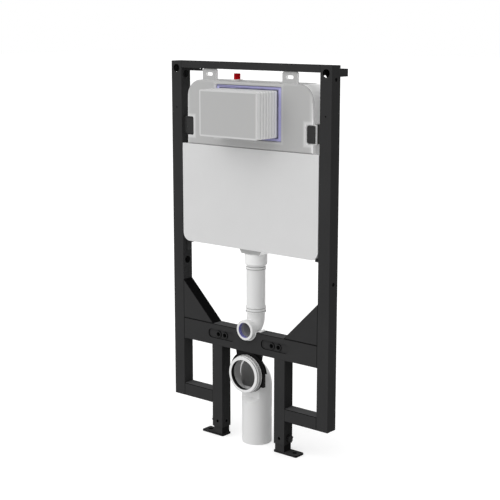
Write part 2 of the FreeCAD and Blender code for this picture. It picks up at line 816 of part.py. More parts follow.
def simple_turned(name, spots, across, depth):
    """A piece turned about an upright axis, from its half section."""
    body = body_for(name)
    profile = front_sketch(body, depth, name + "Profile", (across, ZERO))
    polygon(profile, spots)
    revolve(body, profile, "V_Axis")
    return body


def mouth_turned(name, spots, height):
    """A piece turned about an axis that runs front to back."""
    body = body_for(name)
    profile = side_sketch(body, ZERO, name + "Profile", (ZERO, height))
    polygon(profile, spots)
    revolve(body, profile, "H_Axis")
    return body


def hood():
    """The ribbed cover box over the access window."""
    body = body_for("access_hood")
    across = hood_width / 2
    up = hood_height / 2
    outline = front_sketch(body, -hood_reach, "hoodOutline")
    rectangle(outline, -across, across, window_middle - up, window_middle + up)
    pad(body, outline, hood_reach + seat_depth, True)
    round_edges(body, hood_round, along(ALONG_Y))
    groove = front_sketch(body, -hood_reach + hood_rib_pitch, "hoodGroove")
    rectangle(groove, -across - hood_round, across + hood_round,
              window_middle - up - hood_round, window_middle + up + hood_round)
    rectangle(groove, -across + hood_groove_depth, across - hood_groove_depth,
              window_middle - up + hood_groove_depth, window_middle + up - hood_groove_depth)
    cut = pocket(body, groove, hood_groove_width)
    pattern = body.newObject("PartDesign::LinearPattern", "hoodGrooves")
    pattern.Originals = [cut]
    pattern.Direction = (groove, ["N_Axis"])
    pattern.Reversed = True
    bind(pattern, "Length", hood_rib_pitch * (hood_rib_count - 1))
    bind(pattern, "Occurrences", hood_rib_count)
    body.Tip = pattern
    doc.recompute()
    hollow = front_sketch(body, seat_depth, "hoodHollow")
    rectangle(hollow, -across + hood_wall, across - hood_wall,
              window_middle - up + hood_wall, window_middle + up - hood_wall)
    pocket(body, hollow, hood_reach + seat_depth - hood_wall, True)
    return body


def access_seal():
    body = body_for("access_seal")
    across = seal_width / 2
    up = seal_height / 2
    outline = front_sketch(body, seal_front, "sealOutline")
    rectangle(outline, -across, across, window_middle - up, window_middle + up)
    pad(body, outline, seat_depth - seal_front, True)
    round_edges(body, seal_round, along(ALONG_Y))
    inside = front_sketch(body, seal_front, "sealInside")
    rectangle(inside, -across + seal_side_band, across - seal_side_band,
              window_middle - up + seal_end_band, window_middle + up - seal_end_band)
    pocket(body, inside, seat_depth - seal_front)
    return body


def panel():
    body = body_for("insulation_panel")
    half = panel_width / 2
    outline = front_sketch(body, ZERO, "panelOutline")
    rectangle(outline, -half, half, panel_base, panel_top)
    pad(body, outline, panel_thickness, True)
    middle = (panel_base.value + panel_top.value) / 2
    round_edges(body, panel_corner,
                lambda edge: runs_along(edge, ALONG_Y) and edge.Vertexes[0].Point.z < middle)
    return body


def tank_clip(name, side):
    """A clip on the upright that grips the lug of the cistern from both sides."""
    body = body_for(name)
    half = tank_width / 2
    low = notch_middle - clip_height / 2
    near = side * (half - clip_reach)
    back = lug_front + lug_thickness + panel_gap
    arm = plan_sketch(body, low, name + "Arm")
    rectangle(arm, near, side * inner_face, back, clip_depth)
    pad(body, arm, clip_height)
    neck = front_sketch(body, back, name + "Neck")
    circle(neck, side * (half - notch_width / 2 + lug_reach / 2), notch_middle, lug_hole - panel_gap * 2)
    pad(body, neck, back - clip_front - clip_sheet)
    plate = front_sketch(body, clip_front, name + "Plate")
    rectangle(plate, near, side * (half + lug_reach - clip_lap), low, low + clip_height)
    pad(body, plate, clip_sheet, True)
    edge_x = abs(near.value)
    round_edges(body, clip_round,
                lambda edge: runs_along(edge, ALONG_Y)
                and abs(abs(edge.Vertexes[0].Point.x) - edge_x) < 1e-3)
    return body


def tank_rest(name, side):
    """An angle on the upright under the corner of the cistern."""
    body = body_for(name)
    wall = side * inner_face
    top = tank_base - panel_gap
    front = rest_front + panel_thickness
    section = front_sketch(body, front, name + "Section")
    polygon(section, [(wall, top), (side * (inner_face - rest_reach), top),
                      (side * (inner_face - rest_reach), top - rest_height),
                      (side * (inner_face - rest_sheet), top - rest_height),
                      (side * (inner_face - rest_sheet), top - rest_flange),
                      (wall, top - rest_flange)])
    pad(body, section, rest_back - front, True)
    return body


def bent_pipe(body, word, diameter, radius, depth, height, far_end, mouth_end, cut=False):
    """A round bar, or its cut, that runs upright and turns to the front."""
    upward = far_end.value > height.value
    turn = 1 if upward else -1
    level = height + turn * radius
    straight = plan_sketch(body, level, body.Name + word + "Upright")
    circle(straight, ZERO, depth, diameter)
    length = far_end - level if upward else level - far_end
    quarter = plan_sketch(body, level, body.Name + word + "Quarter", (ZERO, depth - radius))
    circle(quarter, ZERO, radius, diameter)
    mouth = front_sketch(body, depth - radius, body.Name + word + "Front")
    circle(mouth, ZERO, height, diameter)
    if cut:
        pocket(body, straight, length, upward)
        revolve(body, quarter, "H_Axis", True, 90, upward)
        pocket(body, mouth, depth - radius - mouth_end, True)
    else:
        pad(body, straight, length, not upward)
        revolve(body, quarter, "H_Axis", False, 90, upward)
        pad(body, mouth, depth - radius - mouth_end)


def turn_band(body, name, spots, height, cut=False):
    """A band about the front to back axis of a pipe mouth."""
    profile = side_sketch(body, ZERO, name, (ZERO, height))
    polygon(profile, spots)
    revolve(body, profile, "H_Axis", cut)


def turn_upright_band(body, name, spots, depth, cut=False):
    """A band about the upright axis of a pipe."""
    profile = side_sketch(body, ZERO, name, (depth, ZERO))
    polygon(profile, spots)
    revolve(body, profile, "V_Axis", cut)


def flush_bend():
    """The bend below the flush pipe, with its beaded socket and collar."""
    body = body_for("flush_bend")
    socket_base = flush_socket_top - flush_socket_height
    bent_pipe(body, "Outside", flush_bend_tube, flush_bend_radius, pipe_depth, flush_height,
              flush_socket_top, flush_mouth_end)
    top = flush_socket_top
    bead = flush_bead_height
    turn_upright_band(body, "flushSocket", [
        (ZERO, top), (flush_bead / 2, top), (flush_bead / 2, top - bead),
        (flush_socket / 2, top - bead), (flush_socket / 2, socket_base + bead),
        (flush_bead / 2, socket_base + bead), (flush_bead / 2, socket_base),
        (flush_bend_tube / 2, socket_base), (ZERO, socket_base)], pipe_depth)
    turn_band(body, "flushCollar", [
        (flush_mouth_end, ZERO), (flush_mouth_end, flush_collar / 2),
        (flush_collar_end, flush_collar / 2), (flush_collar_end, ZERO)], flush_height)
    bent_pipe(body, "Inside", flush_bend_tube - flush_bend_wall * 2, flush_bend_radius, pipe_depth,
              flush_height, flush_socket_top, flush_mouth_end, True)
    turn_upright_band(body, "flushSocketBore", [
        (ZERO, top), (flush_pipe / 2, top), (flush_pipe / 2, socket_base + bead), (ZERO, socket_base + bead)],
        pipe_depth, True)
    turn_band(body, "flushCollarBore", [
        (flush_mouth_end, ZERO), (flush_mouth_end, flush_mouth_bore / 2),
        (flush_collar_end, flush_mouth_bore / 2), (flush_collar_end, ZERO)], flush_height, True)
    return body


def flat_bore(body, name, diameter, plane, low, high):
    """Cuts the upright bore behind a flat front, between two heights."""
    sketch = plan_sketch(body, low, name)
    radius = diameter / 2
    middle = Vector(0, waste_depth.value, 0)
    start = math.asin((plane.value - waste_depth.value) / radius.value)
    round_part = Part.ArcOfCircle(Part.Circle(middle, Vector(0, 0, 1), radius.value), start, math.pi - start)
    sketch.addGeometry(round_part, False)
    reach = radius.value * math.cos(start)
    chord = Part.LineSegment(Vector(-reach, plane.value, 0), Vector(reach, plane.value, 0))
    sketch.addGeometry(chord, False)
    place_point(sketch, 0, 3, (ZERO, waste_depth))
    rule = sketch.addConstraint(Sketcher.Constraint("Radius", 0, radius.value))
    sketch.setExpression("Constraints[%d]" % rule, radius.text)
    sketch.addConstraint(Sketcher.Constraint("Coincident", 0, 2, 1, 1))
    sketch.addConstraint(Sketcher.Constraint("Coincident", 0, 1, 1, 2))
    sketch.addConstraint(Sketcher.Constraint("Horizontal", 1))
    rule = sketch.addConstraint(Sketcher.Constraint("DistanceY", -1, 1, 1, 1, plane.value))
    sketch.setExpression("Constraints[%d]" % rule, plane.text)
    pocket(body, sketch, high - low, True)


def waste_bend():
    """The waste bend with its wide socket and the flat below the mouth."""
    body = body_for("waste_bend")
    level = waste_height - waste_radius
    slope_base = flat_base - flat_slope
    spigot = plan_sketch(body, waste_end, "wasteSpigot")
    circle(spigot, ZERO, waste_depth, waste_pipe)
    pad(body, spigot, waste_spigot)
    bent_pipe(body, "Outside", waste_body, waste_radius, waste_depth, waste_height,
              waste_end + waste_spigot, socket_front)
    step = waste_radius - waste_body / 2
    flat = side_sketch(body, -waste_body / 2, "wasteFlat")
    polygon(flat, [(waste_front - step, slope_base - step), (flat_depth, flat_base),
                   (flat_depth, flat_top), (waste_front - step, flat_top)])
    pocket(body, flat, waste_body, True)
    turn_band(body, "wasteSocket", [
        (socket_front, ZERO), (socket_front, socket_diameter / 2), (socket_back, socket_diameter / 2),
        (socket_back + socket_taper, waste_body / 2), (socket_back + socket_taper, ZERO)], waste_height)
    bore = waste_body - waste_wall * 2
    low = plan_sketch(body, waste_end, "wasteBoreLow")
    circle(low, ZERO, waste_depth, bore)
    pocket(body, low, slope_base - waste_wall - waste_end, True)
    flat_bore(body, "wasteBoreFlat", bore, flat_depth + waste_wall, slope_base - waste_wall, level)
    quarter = plan_sketch(body, level, "wasteBoreQuarter", (ZERO, waste_depth - waste_radius))
    circle(quarter, ZERO, waste_radius, bore)
    revolve(body, quarter, "H_Axis", True, 90, False)
    turn_band(body, "wasteSocketBore", [
        (socket_front, ZERO), (socket_front, socket_bore / 2),
        (socket_bore_end, socket_bore / 2), (socket_bore_end, ZERO)], waste_height, True)
    return body


def mouth_ring(name, front, back, outer_spots, bore, seal_front, seal_length, seal_depth, height):
    """A mouth ring with a groove for its seal, turned from one profile."""
    spots = [(front, bore / 2)] + outer_spots + [
        (back, bore / 2),
        (front + seal_front + seal_length, bore / 2),
        (front + seal_front + seal_length, bore / 2 + seal_depth),
        (front + seal_front, bore / 2 + seal_depth),
        (front + seal_front, bore / 2)]
    return mouth_turned(name, spots, height)


def flush_cradle():
    """The white saddle that lines the notch of the crossbar."""
    body = body_for("flush_cradle")
    inner = cradle_radius - cradle_wall
    turn_band(body, "cradleRing", [
        (ZERO, flush_collar / 2 + panel_gap), (ZERO, cradle_radius), (tube_side, cradle_radius),
        (tube_side, inner), (cradle_lip, inner), (cradle_lip, flush_collar / 2 + panel_gap)], flush_height)
    above = front_sketch(body, ZERO, "cradleAbove")
    clear = cradle_radius + cradle_clearing
    rectangle(above, -clear, clear, crossbar_top + cradle_wall, flush_height + clear)
    pocket(body, above, tube_side)
    for side, word in ((-1, "Left"), (1, "Right")):
        flap = plan_sketch(body, crossbar_top, "cradleFlap" + word)
        rectangle(flap, side * (inner + cradle_wall / 2), side * (cradle_radius + cradle_flap),
                  cradle_flap_front, cradle_flap_back)
        pad(body, flap, cradle_wall)
    return body


def waste_bracket():
    """The bracket under the crossbar with the upper half of the clamp."""
    body = body_for("waste_bracket")
    inner = socket_diameter / 2 + strap_clearance
    outer = inner + strap_wall
    half = saddle_top_width / 2
    flange = front_sketch(body, plate_front, "bracketFlange")
    rectangle(flange, -half, half, crossbar_base - bracket_plate, crossbar_base)
    pad(body, flange, tube_side - plate_front * 2, True)
    web = front_sketch(body, plate_front, "bracketWeb")
    web_low = waste_height + bracket_web_rise
    polygon(web, [(-half, crossbar_base - bracket_plate), (half, crossbar_base - bracket_plate),
                  (half - web_slant, web_low), (web_slant - half, web_low)])
    pad(body, web, bracket_plate * 2, True)
    profile = side_sketch(body, ZERO, "saddleProfile", (ZERO, waste_height))
    rim = outer + saddle_rim_rise
    groove = outer + saddle_groove_rise
    polygon(profile, [(ZERO, inner), (saddle_width, inner), (saddle_width, outer), (saddle_rim, outer),
                      (saddle_rim, rim), (saddle_rim - saddle_rim_sheet, rim),
                      (saddle_rim - saddle_rim_sheet, groove), (saddle_rim_sheet, groove),
                      (saddle_rim_sheet, rim), (ZERO, rim)])
    saddle = body.newObject("PartDesign::Revolution", "saddle")
    saddle.Profile = profile
    saddle.ReferenceAxis = (profile, ["H_Axis"])
    saddle.Angle = 180
    saddle.Midplane = True
    doc.recompute()
    room = front_sketch(body, ZERO, "saddleRoom")
    circle(room, ZERO, waste_height, inner * 2)
    pocket(body, room, tube_side)
    crest = front_sketch(body, ZERO, "saddleCrest")
    rectangle(crest, -rim, rim, crossbar_base, crossbar_base + saddle_rise)
    pocket(body, crest, saddle_width)
    ends = front_sketch(body, ZERO, "saddleEnds")
    rectangle(ends, -rim - saddle_rise, rim + saddle_rise, waste_height - saddle_rise, waste_height + saddle_rise)
    pocket(body, ends, saddle_width)
    return body


def waste_strap(name, side):
    """A leg of the clamp that hooks under one side of the waste socket."""
    body = body_for(name)
    inner = socket_diameter / 2 + strap_clearance
    outer = inner + strap_wall
    rim = outer + strap_band_rim
    top = waste_height + saddle_rise - strap_clearance
    band = front_sketch(body, ZERO, name + "Band")
    circle(band, ZERO, waste_height, rim * 2)
    pad(body, band, strap_band, True)
    above = front_sketch(body, ZERO, name + "Above")
    rectangle(above, -rim * 2, rim * 2, top, waste_height + rim * 2)
    pocket(body, above, strap_band)
    beyond = front_sketch(body, ZERO, name + "Beyond")
    rectangle(beyond, side * -rim * 2, side * strap_end, waste_height - rim * 2, top)
    pocket(body, beyond, strap_band)
    leg_sketch = front_sketch(body, ZERO, name + "Leg")
    rectangle(leg_sketch, side * inner / 2, side * (outer + strap_reach), waste_height - strap_drop, top)
    pad(body, leg_sketch, strap_width, True)
    room = front_sketch(body, ZERO, name + "Room")
    circle(room, ZERO, waste_height, inner * 2)
    pocket(body, room, strap_width)
    return body


upright("left_upright", -1)
upright("right_upright", 1)
cross_tube("top_rail", -inner_face, inner_face, frame_top - top_rail_height, frame_top, tube_wall)
crossbar()
for side, word in ((-1, "left"), (1, "right")):
    gusset(word + "_gusset", side)
    lower_rail(word + "_lower_rail", side)
    leg(word + "_leg", side)
    foot(word + "_foot", side)
    leg_screw(word + "_leg_screw", side)
    wall_bracket(word + "_wall_bracket", side)
    bracket_bolt_piece(word + "_bracket_bolt", side)
    stud_insert(word + "_inner_insert", side * stud_inner_spacing / 2)
    stud_insert(word + "_outer_insert", side * stud_outer_spacing / 2)
    tank_clip(word + "_tank_clip", side)
    tank_rest(word + "_tank_rest", side)
tank()
hood()
access_seal()
panel()
simple_turned("inlet_fitting", [
    (ZERO, tank_top), (inlet_flange / 2, tank_top), (inlet_flange / 2, tank_top + inlet_flange_height),
    (inlet_stub / 2, tank_top + inlet_flange_height), (inlet_stub / 2, tank_top + inlet_stub_height),
    (ZERO, tank_top + inlet_stub_height)], inlet_offset, inlet_depth)
simple_turned("inlet_cap", [
    (ZERO, tank_top + inlet_stub_height), (inlet_stub / 2, tank_top + inlet_stub_height),
    (inlet_stub / 2, tank_top + inlet_flange_height), (cap_diameter / 2, tank_top + inlet_flange_height),
    (cap_diameter / 2, cap_top), (ZERO, cap_top)], inlet_offset, inlet_depth)
simple_turned("outlet_nut", [
    (flush_pipe / 2, nut_top), (nut_diameter / 2, nut_top), (nut_diameter / 2, nut_base),
    (nut_diameter / 2 - nut_taper, nut_base - nut_taper), (flush_pipe / 2, nut_base - nut_taper)],
    ZERO, pipe_depth)
simple_turned("pipe_ring", [
    (flush_pipe / 2, ring_top), (ring_diameter / 2 - ring_bevel, ring_top),
    (ring_diameter / 2, ring_top - ring_bevel * 2), (ring_diameter / 2, ring_top - ring_height + ring_bevel),
    (flush_pipe / 2, ring_top - ring_height)], ZERO, pipe_depth)
simple_turned("flush_pipe", [
    (flush_pipe / 2 - flush_pipe_wall, nut_top), (flush_pipe / 2, nut_top),
    (flush_pipe / 2, flush_socket_top - flush_socket_height + flush_bead_height),
    (flush_pipe / 2 - flush_pipe_wall, flush_socket_top - flush_socket_height + flush_bead_height)],
    ZERO, pipe_depth)
flush_bend()
mouth_ring("flush_ring", flush_mouth_front, flush_mouth_end, [
    (flush_mouth_front, flush_mouth / 2 - flush_mouth_step),
    (flush_mouth_front + flush_mouth_step, flush_mouth / 2),
    (flush_mouth_end, flush_mouth / 2)],
    flush_mouth_bore, flush_seal_front, flush_seal_length, flush_seal_depth, flush_height)
mouth_turned("flush_seal", [
    (flush_mouth_front + flush_seal_front, flush_mouth_bore / 2),
    (flush_mouth_front + flush_seal_front, flush_mouth_bore / 2 + flush_seal_depth),
    (flush_mouth_front + flush_seal_front + flush_seal_length, flush_mouth_bore / 2 + flush_seal_depth),
    (flush_mouth_front + flush_seal_front + flush_seal_length, flush_mouth_bore / 2)], flush_height)
flush_cradle()
waste_bend()
mouth_ring("waste_ring", mouth_front, socket_front, [
    (mouth_front, mouth_diameter / 2 - mouth_step),
    (mouth_front + mouth_step, mouth_diameter / 2),
    (mouth_front + mouth_length, mouth_diameter / 2),
    (mouth_front + mouth_length, mouth_diameter / 2 + mouth_step),
    (mouth_front + mouth_length + mouth_ridge, mouth_diameter / 2 + mouth_step),
    (mouth_front + mouth_length + mouth_ridge, mouth_diameter / 2),
    (socket_front - mouth_ridge, mouth_diameter / 2),
    (socket_front - mouth_ridge, mouth_back_diameter / 2),
    (socket_front, mouth_back_diameter / 2)],
    socket_bore, waste_seal_front, waste_seal_length, waste_seal_depth, waste_height)
mouth_turned("waste_seal", [
    (mouth_front + waste_seal_front, socket_bore / 2),
    (mouth_front + waste_seal_front, socket_bore / 2 + waste_seal_depth),
    (mouth_front + waste_seal_front + waste_seal_length, socket_bore / 2 + waste_seal_depth),
    (mouth_front + waste_seal_front + waste_seal_length, socket_bore / 2)], waste_height)
waste_bracket()
waste_strap("left_waste_strap", -1)
waste_strap("right_waste_strap", 1)

os.makedirs("parts", exist_ok=True)
doc.recompute()
for thing in doc.Objects:
    if "Invalid" in thing.State or "Error" in thing.State:
        raise RuntimeError("failed object " + thing.Name)
for body in finished:
    shape = body.Shape
    if shape.isNull() or not shape.isValid():
        raise RuntimeError("bad shape " + body.Label)
for body in finished:
    body.Shape.exportStep(os.path.join("parts", body.Label + ".step"))
    print(body.Label, len(body.Shape.Solids), round(body.Shape.Volume), body.Shape.BoundBox)
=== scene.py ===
import json
import math

import bpy
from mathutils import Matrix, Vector

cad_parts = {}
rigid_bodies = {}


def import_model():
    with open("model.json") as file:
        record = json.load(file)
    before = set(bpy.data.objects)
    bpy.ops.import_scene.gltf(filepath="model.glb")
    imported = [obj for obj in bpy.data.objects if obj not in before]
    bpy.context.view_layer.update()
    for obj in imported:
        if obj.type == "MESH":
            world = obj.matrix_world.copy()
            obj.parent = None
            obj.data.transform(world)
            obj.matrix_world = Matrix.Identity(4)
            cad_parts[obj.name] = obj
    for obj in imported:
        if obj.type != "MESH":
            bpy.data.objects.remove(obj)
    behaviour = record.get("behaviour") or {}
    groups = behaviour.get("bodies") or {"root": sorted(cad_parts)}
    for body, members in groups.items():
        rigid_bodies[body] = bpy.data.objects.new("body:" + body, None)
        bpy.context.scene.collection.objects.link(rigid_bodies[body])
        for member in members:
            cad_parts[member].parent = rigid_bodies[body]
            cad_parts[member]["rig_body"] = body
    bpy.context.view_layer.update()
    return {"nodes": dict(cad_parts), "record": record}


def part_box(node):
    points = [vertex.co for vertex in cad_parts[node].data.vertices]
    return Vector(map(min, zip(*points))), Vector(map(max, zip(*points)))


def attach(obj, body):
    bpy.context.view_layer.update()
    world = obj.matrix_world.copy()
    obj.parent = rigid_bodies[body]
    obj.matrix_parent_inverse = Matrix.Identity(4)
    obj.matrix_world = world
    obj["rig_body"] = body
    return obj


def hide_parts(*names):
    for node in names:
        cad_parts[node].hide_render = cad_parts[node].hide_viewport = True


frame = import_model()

bl_info = {
    "name": "Wall hung toilet frame",
    "version": (1, 0, 0),
    "blender": (4, 5, 0),
    "location": "View3D > Sidebar > Toilet frame",
    "description": "Dresses the packed frame, cistern and pipes and sets the stage",
    "category": "Object",
}

NODE_SLOTS = {row["node"]: row["material_slot"] for row in frame["record"]["subparts"]}
NODE_BODIES = {node: thing["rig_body"] for node, thing in frame["nodes"].items()}
SIDES = (("left", -1.0), ("right", 1.0))
MM = 0.001


# Settings


def colour_setting(name, description, default):
    return bpy.props.FloatVectorProperty(
        name=name, description=description, default=default,
        subtype="COLOR", size=3, min=0.0, max=1.0)


def length_setting(name, description, default):
    return bpy.props.FloatProperty(
        name=name, description=description, default=default,
        unit="LENGTH", subtype="DISTANCE", min=0.0)


def share_setting(name, description, default):
    return bpy.props.FloatProperty(
        name=name, description=description, default=default,
        subtype="FACTOR", min=0.0, max=1.0)


def strength_setting(name, description, default):
    return bpy.props.FloatProperty(
        name=name, description=description, default=default, min=0.0)


class SteelSettings(bpy.types.PropertyGroup):
    """Finish of the welded frame and its feet."""

    paint: colour_setting(
        "Paint", "Colour of the powder coat", (0.040, 0.040, 0.0405))
    # Painted shade on every bevelled edge of the steel; along the welded seams the same colour
    # is a dark joint.
    joint: colour_setting(
        "Joint", "Colour of the paint along edges and joints", (0.005, 0.005, 0.0051))
    # Painted shade: near-black paint on the walls of holes, in the crossbar's recesses and on
    # the gussets' sloping sides.
    hollow: colour_setting(
        "Hollow", "Colour of the walls of holes and channels", (0.006, 0.006, 0.0062))
    foot: colour_setting(
        "Foot", "Colour of the paint on the feet", (0.040, 0.040, 0.0405))
    edge: length_setting(
        "Edge", "Width of the soft edge on cut steel", 0.6 * MM)
    seam: length_setting(
        "Seam", "Width of the dark edge where steel is welded on", 1.2 * MM)


class PlasticSettings(bpy.types.PropertyGroup):
    """Colours of the cistern, the pipes and the seals."""

    tank: colour_setting(
        "Tank", "Colour of the moulded cistern", (0.455, 0.455, 0.452))
    hood: colour_setting(
        "Hood", "Colour of the access hood", (0.46, 0.46, 0.457))
    # Painted light: a far paler copy of the plastic for the sides of cistern and hood,
    # standing in for light through their thin walls.
    lit_side: colour_setting(
        "Flank", "Colour of the thin sides of cistern and hood", (0.96, 0.96, 0.957))
    # Painted shade: the greyer colour in the grooves round the hood.
    rib_gap_shade: colour_setting(
        "Groove", "Colour of the grooves round the hood", (0.84, 0.84, 0.837))
    panel: colour_setting(
        "Panel", "Colour of the insulation panel", (0.70, 0.70, 0.70))
    pipe: colour_setting(
        "Pipe", "Colour of the flush and waste pipes", (0.79, 0.79, 0.787))
    # Painted shade: the darker colour inside the pipes.
    inside: colour_setting(
        "Pipe inside", "Colour inside the pipes", (0.40, 0.40, 0.398))
    seal: colour_setting(
        "Seal", "Colour of the foam seal round the hood", (0.45, 0.44, 0.74))
    # Painted shade: the dark colour laid on the seal against the hood and at its outer sides,
    # and at the foot of the hood's sides.
    seal_shade: colour_setting(
        "Seal fold", "Colour in the folds of the foam seal", (0.07, 0.07, 0.16))
    # Painted highlight: how pale the plastic is painted at its rims and on the bevelled edges
    # of cistern and hood, for light through the thin walls.
    rim: share_setting(
        "Rim", "How pale the plastic is at its rims, where its walls are thin", 0.80)
    # Painted light: the strength of the glow on the cistern's sides.
    through: share_setting(
        "Light through", "Light that the thin walls of the cistern let through", 0.10)
    # Painted light: the strength of the glow on the ledge in the waste socket.
    ledge: share_setting(
        "Ledge light", "Light that the ledge in the waste socket lets through", 0.20)
    cap: colour_setting(
        "Cap", "Colour of the transport cap", (0.72, 0.004, 0.010))
    black: colour_setting(
        "Black plastic", "Colour of the clamp and the inserts", (0.006, 0.006, 0.0062))
    clip: colour_setting(
        "Clip", "Colour of the clips on the uprights", (0.038, 0.038, 0.0385))


class StageSettings(bpy.types.PropertyGroup):
    """Camera, lamp and dome."""

    key: strength_setting("Key", "Strength of the main lamp", 0.22)
    fill: strength_setting("Fill", "Mean strength of the studio dome", 0.24)
    lean: bpy.props.FloatVectorProperty(
        name="Lean", description="How the dome brightens towards left, front and top",
        default=(-0.36, -0.56, 1.15), subtype="XYZ", size=3)
    lens: bpy.props.FloatProperty(
        name="Lens", description="Focal length", default=84.73, unit="CAMERA", min=1.0)


def settings():
    scene = bpy.context.scene
    return scene.frame_steel, scene.frame_plastic, scene.frame_stage


# Sizes and places, in metres. MIDDLE is the plane in X between the two legs.

MIDDLE = 0.12
TINY = 0.06 * MM
MERGE = 0.01 * MM

# Angles in degrees: faces that count as one flat face, and edges that count as sharp.
FLAT = 0.5
SHARP = 32.0

# How much of a face's normal lies along an axis that it looks straight or partly along.
STRAIGHT = 0.9
PARTLY = 0.5
HARDLY = 0.3

# Steel tubes: the rounding that is drawn out sharp, and the longest side of a face in a hole.
TUBE_ROUND = 3.0 * MM
HOLE_WALL = 6.0 * MM
FOOT_PLATE = 6.2 * MM

# Welded seams: an axis, a middle and the distance from it.
SEAM_HALF = 2.2 * MM
WELD_SEAMS = (("X", MIDDLE, 0.2555), ("Z", 0.3521, 0.0))
RAIL_SEAMS = (("X", MIDDLE, 0.2555), ("Z", 0.1408, 0.0), ("Z", 0.1015, 0.0))

# The knob of a leg screw: its axis from the middle, its lobes and how far they swell.
KNOB_PLACE = (0.1396, 0.0, 0.0455)
KNOB_RADIUS = 9.0 * MM
KNOB_HEIGHT = 10.0 * MM
KNOB_LOBES = 6
LOBE_STEPS = 6
KNOB_SWELL = 1.28
KNOB_SOFT = 0.8 * MM

# The crossbar's recesses and the nuts on the flanges of its stud inserts.
STUD_HEIGHT = 0.3215
RECESS_HALF = 0.0152
RECESS_FLOOR = -0.0156
FLANGE_FRONT = -0.0170
NUT_FRONT = -0.0193
NUT_RIM = 0.8 * MM
NUT_SOFT = 0.2 * MM

# The cistern. A box is its middle and half its width, then the same of its height.
TANK_HALF = 0.233
TANK_TOP = 1.083
SHOULDER_DROP = 0.080
SHOULDER_LEAN = 0.25
FLANK_TURN = 0.15
CORNER_TURN = 0.95
CORNER_REACH = 0.006
TANK_SOFT = 1.5 * MM
NOTCH = (0.2245, 0.0165, 0.9455, 0.0275)
SEAT = (MIDDLE, 0.1225, 0.9948, 0.0775)

# The lug in the left notch: how far out it starts, and how far it lies behind the front.
LUG_INSIDE = 0.212
LUG_BACK = 1.0 * MM

# The strips that close the slots in its shoulders: place from the middle, size, lean.
STRIP_PLACE = (0.2028, 0.02365, 1.07765)
STRIP_SIZE = (0.0052, 0.0570, 0.0012)
STRIP_LEAN = 24.0
STRIP_SOFT = 0.2 * MM

# The hood, the painted shade stripes of the ribs along its sides, and the seal, panel and
# inlet cap.
HOOD = (MIDDLE, 0.106, 0.9948, 0.066)
HOOD_FOOT = -0.0150
HOOD_SOFT = 0.5 * MM
RIB_START = -0.0940
RIB_PITCH = 0.0125
RIB_SHARE = 0.4
SEAL_HALF = 0.1205
SEAL_SOFT = 1.2 * MM
PANEL_SOFT = 1.0 * MM
CAP_AXIS = (0.048, 0.0205)
CAP_RIBS = 14.0
CAP_SOFT = 0.8 * MM

# The pipes: lines of painted shade by their rings and in their grooves, and the middle line
# of each bend, which is the height of its level run, the depth of its upright run and the
# height of its far end.
FLUSH_SHADE_LINES = (0.5422, 0.5355, 0.4170, 0.4085)
FLUSH_SHADE_HALF = 1.2 * MM
RING_SHADE_LINES = (-0.0382, -0.0318, -0.0265)
RING_SHADE_HALF = 1.6 * MM
FLUSH_BEND = (0.3565, 0.0195, 0.421)
WASTE_BEND = (0.2215, 0.0249, 0.0)
LEDGE_FROM = -0.015
WASTE_FOOT = 0.170
PIPE_SOFT = 0.5 * MM

# Fixed colours. The _HIGHLIGHT colours are lighter copies for bevelled edges: painted
# highlights.
BLUE_SEAL = (0.20, 0.20, 0.50)
BLUE_SEAL_HIGHLIGHT = (0.30, 0.30, 0.62)
BLACK_SEAL = (0.008, 0.008, 0.008)
BLACK_SEAL_HIGHLIGHT = (0.015, 0.015, 0.015)
DARK_STEEL = (0.05, 0.05, 0.052)
DARK_STEEL_HIGHLIGHT = (0.10, 0.10, 0.11)
# Painted highlight down the soft front corners of the cistern.
CORNER_GLINT = (0.97, 0.97, 0.97)

# The stage.
FLOOR_SIDE = 60.0
FLOOR_DROP = 0.2 * MM
FLOOR_COLOUR = (0.62, 0.62, 0.62)
FLOOR_GLOW = 0.52
KEY_AIM = (0.45, 0.70, -0.80)
KEY_SPREAD = 100.0
CAMERA_PLACE = (2.2734, -2.6059, 1.2638)
CAMERA_AIM = (-0.6260, 0.7552, -0.1947)
SENSOR_WIDTH = 36.0

# Noise patterns: the scale, with features of about 1 / scale metres, and the detail.
CLOUDS = (9.0, 4.0)
COAT_GLOSS = (60.0, 5.0)
COAT_PEEL = (900.0, 2.0)
COAT_DIMPLES = (260.0, 2.0)
FLOW_MARKS = (7.0, 5.0)
MOULD_GLOSS = (35.0, 6.0)
MOULD_GRAIN = (500.0, 2.0)
PIPE_GRAIN = (600.0, 2.0)
TANK_GRAIN = (420.0, 2.0)
TANK_WAVES = (14.0, 1.0)
FOOT_WAVES = (40.0, 1.0)
FOAM_CLOUDS = (60.0, 4.0)
FOAM_WAVES = (45.0, 1.0)
BOARD_CLOUDS = (11.0, 4.0)
BOARD_GLOSS = (70.0, 5.0)
BOARD_WAVES = (30.0, 2.0)
BOARD_BEADS = 320.0
RUBBER_CLOUDS = (40.0, 4.0)
SOFT_GLOSS = (120.0, 4.0)
SOFT_PITS = (1200.0, 2.0)
CAP_GLOSS = (150.0, 3.0)
STEEL_CLOUDS = (50.0, 5.0)
STEEL_GLOSS = (150.0, 4.0)
TURNING_MARKS = (1500.0, 2.0)
FLOOR_CLOUDS = (3.0, 3.0)


# Finishes


def add_node(tree, kind, **values):
    node = tree.nodes.new(kind)
    for key, value in values.items():
        setattr(node, key, value)
    return node


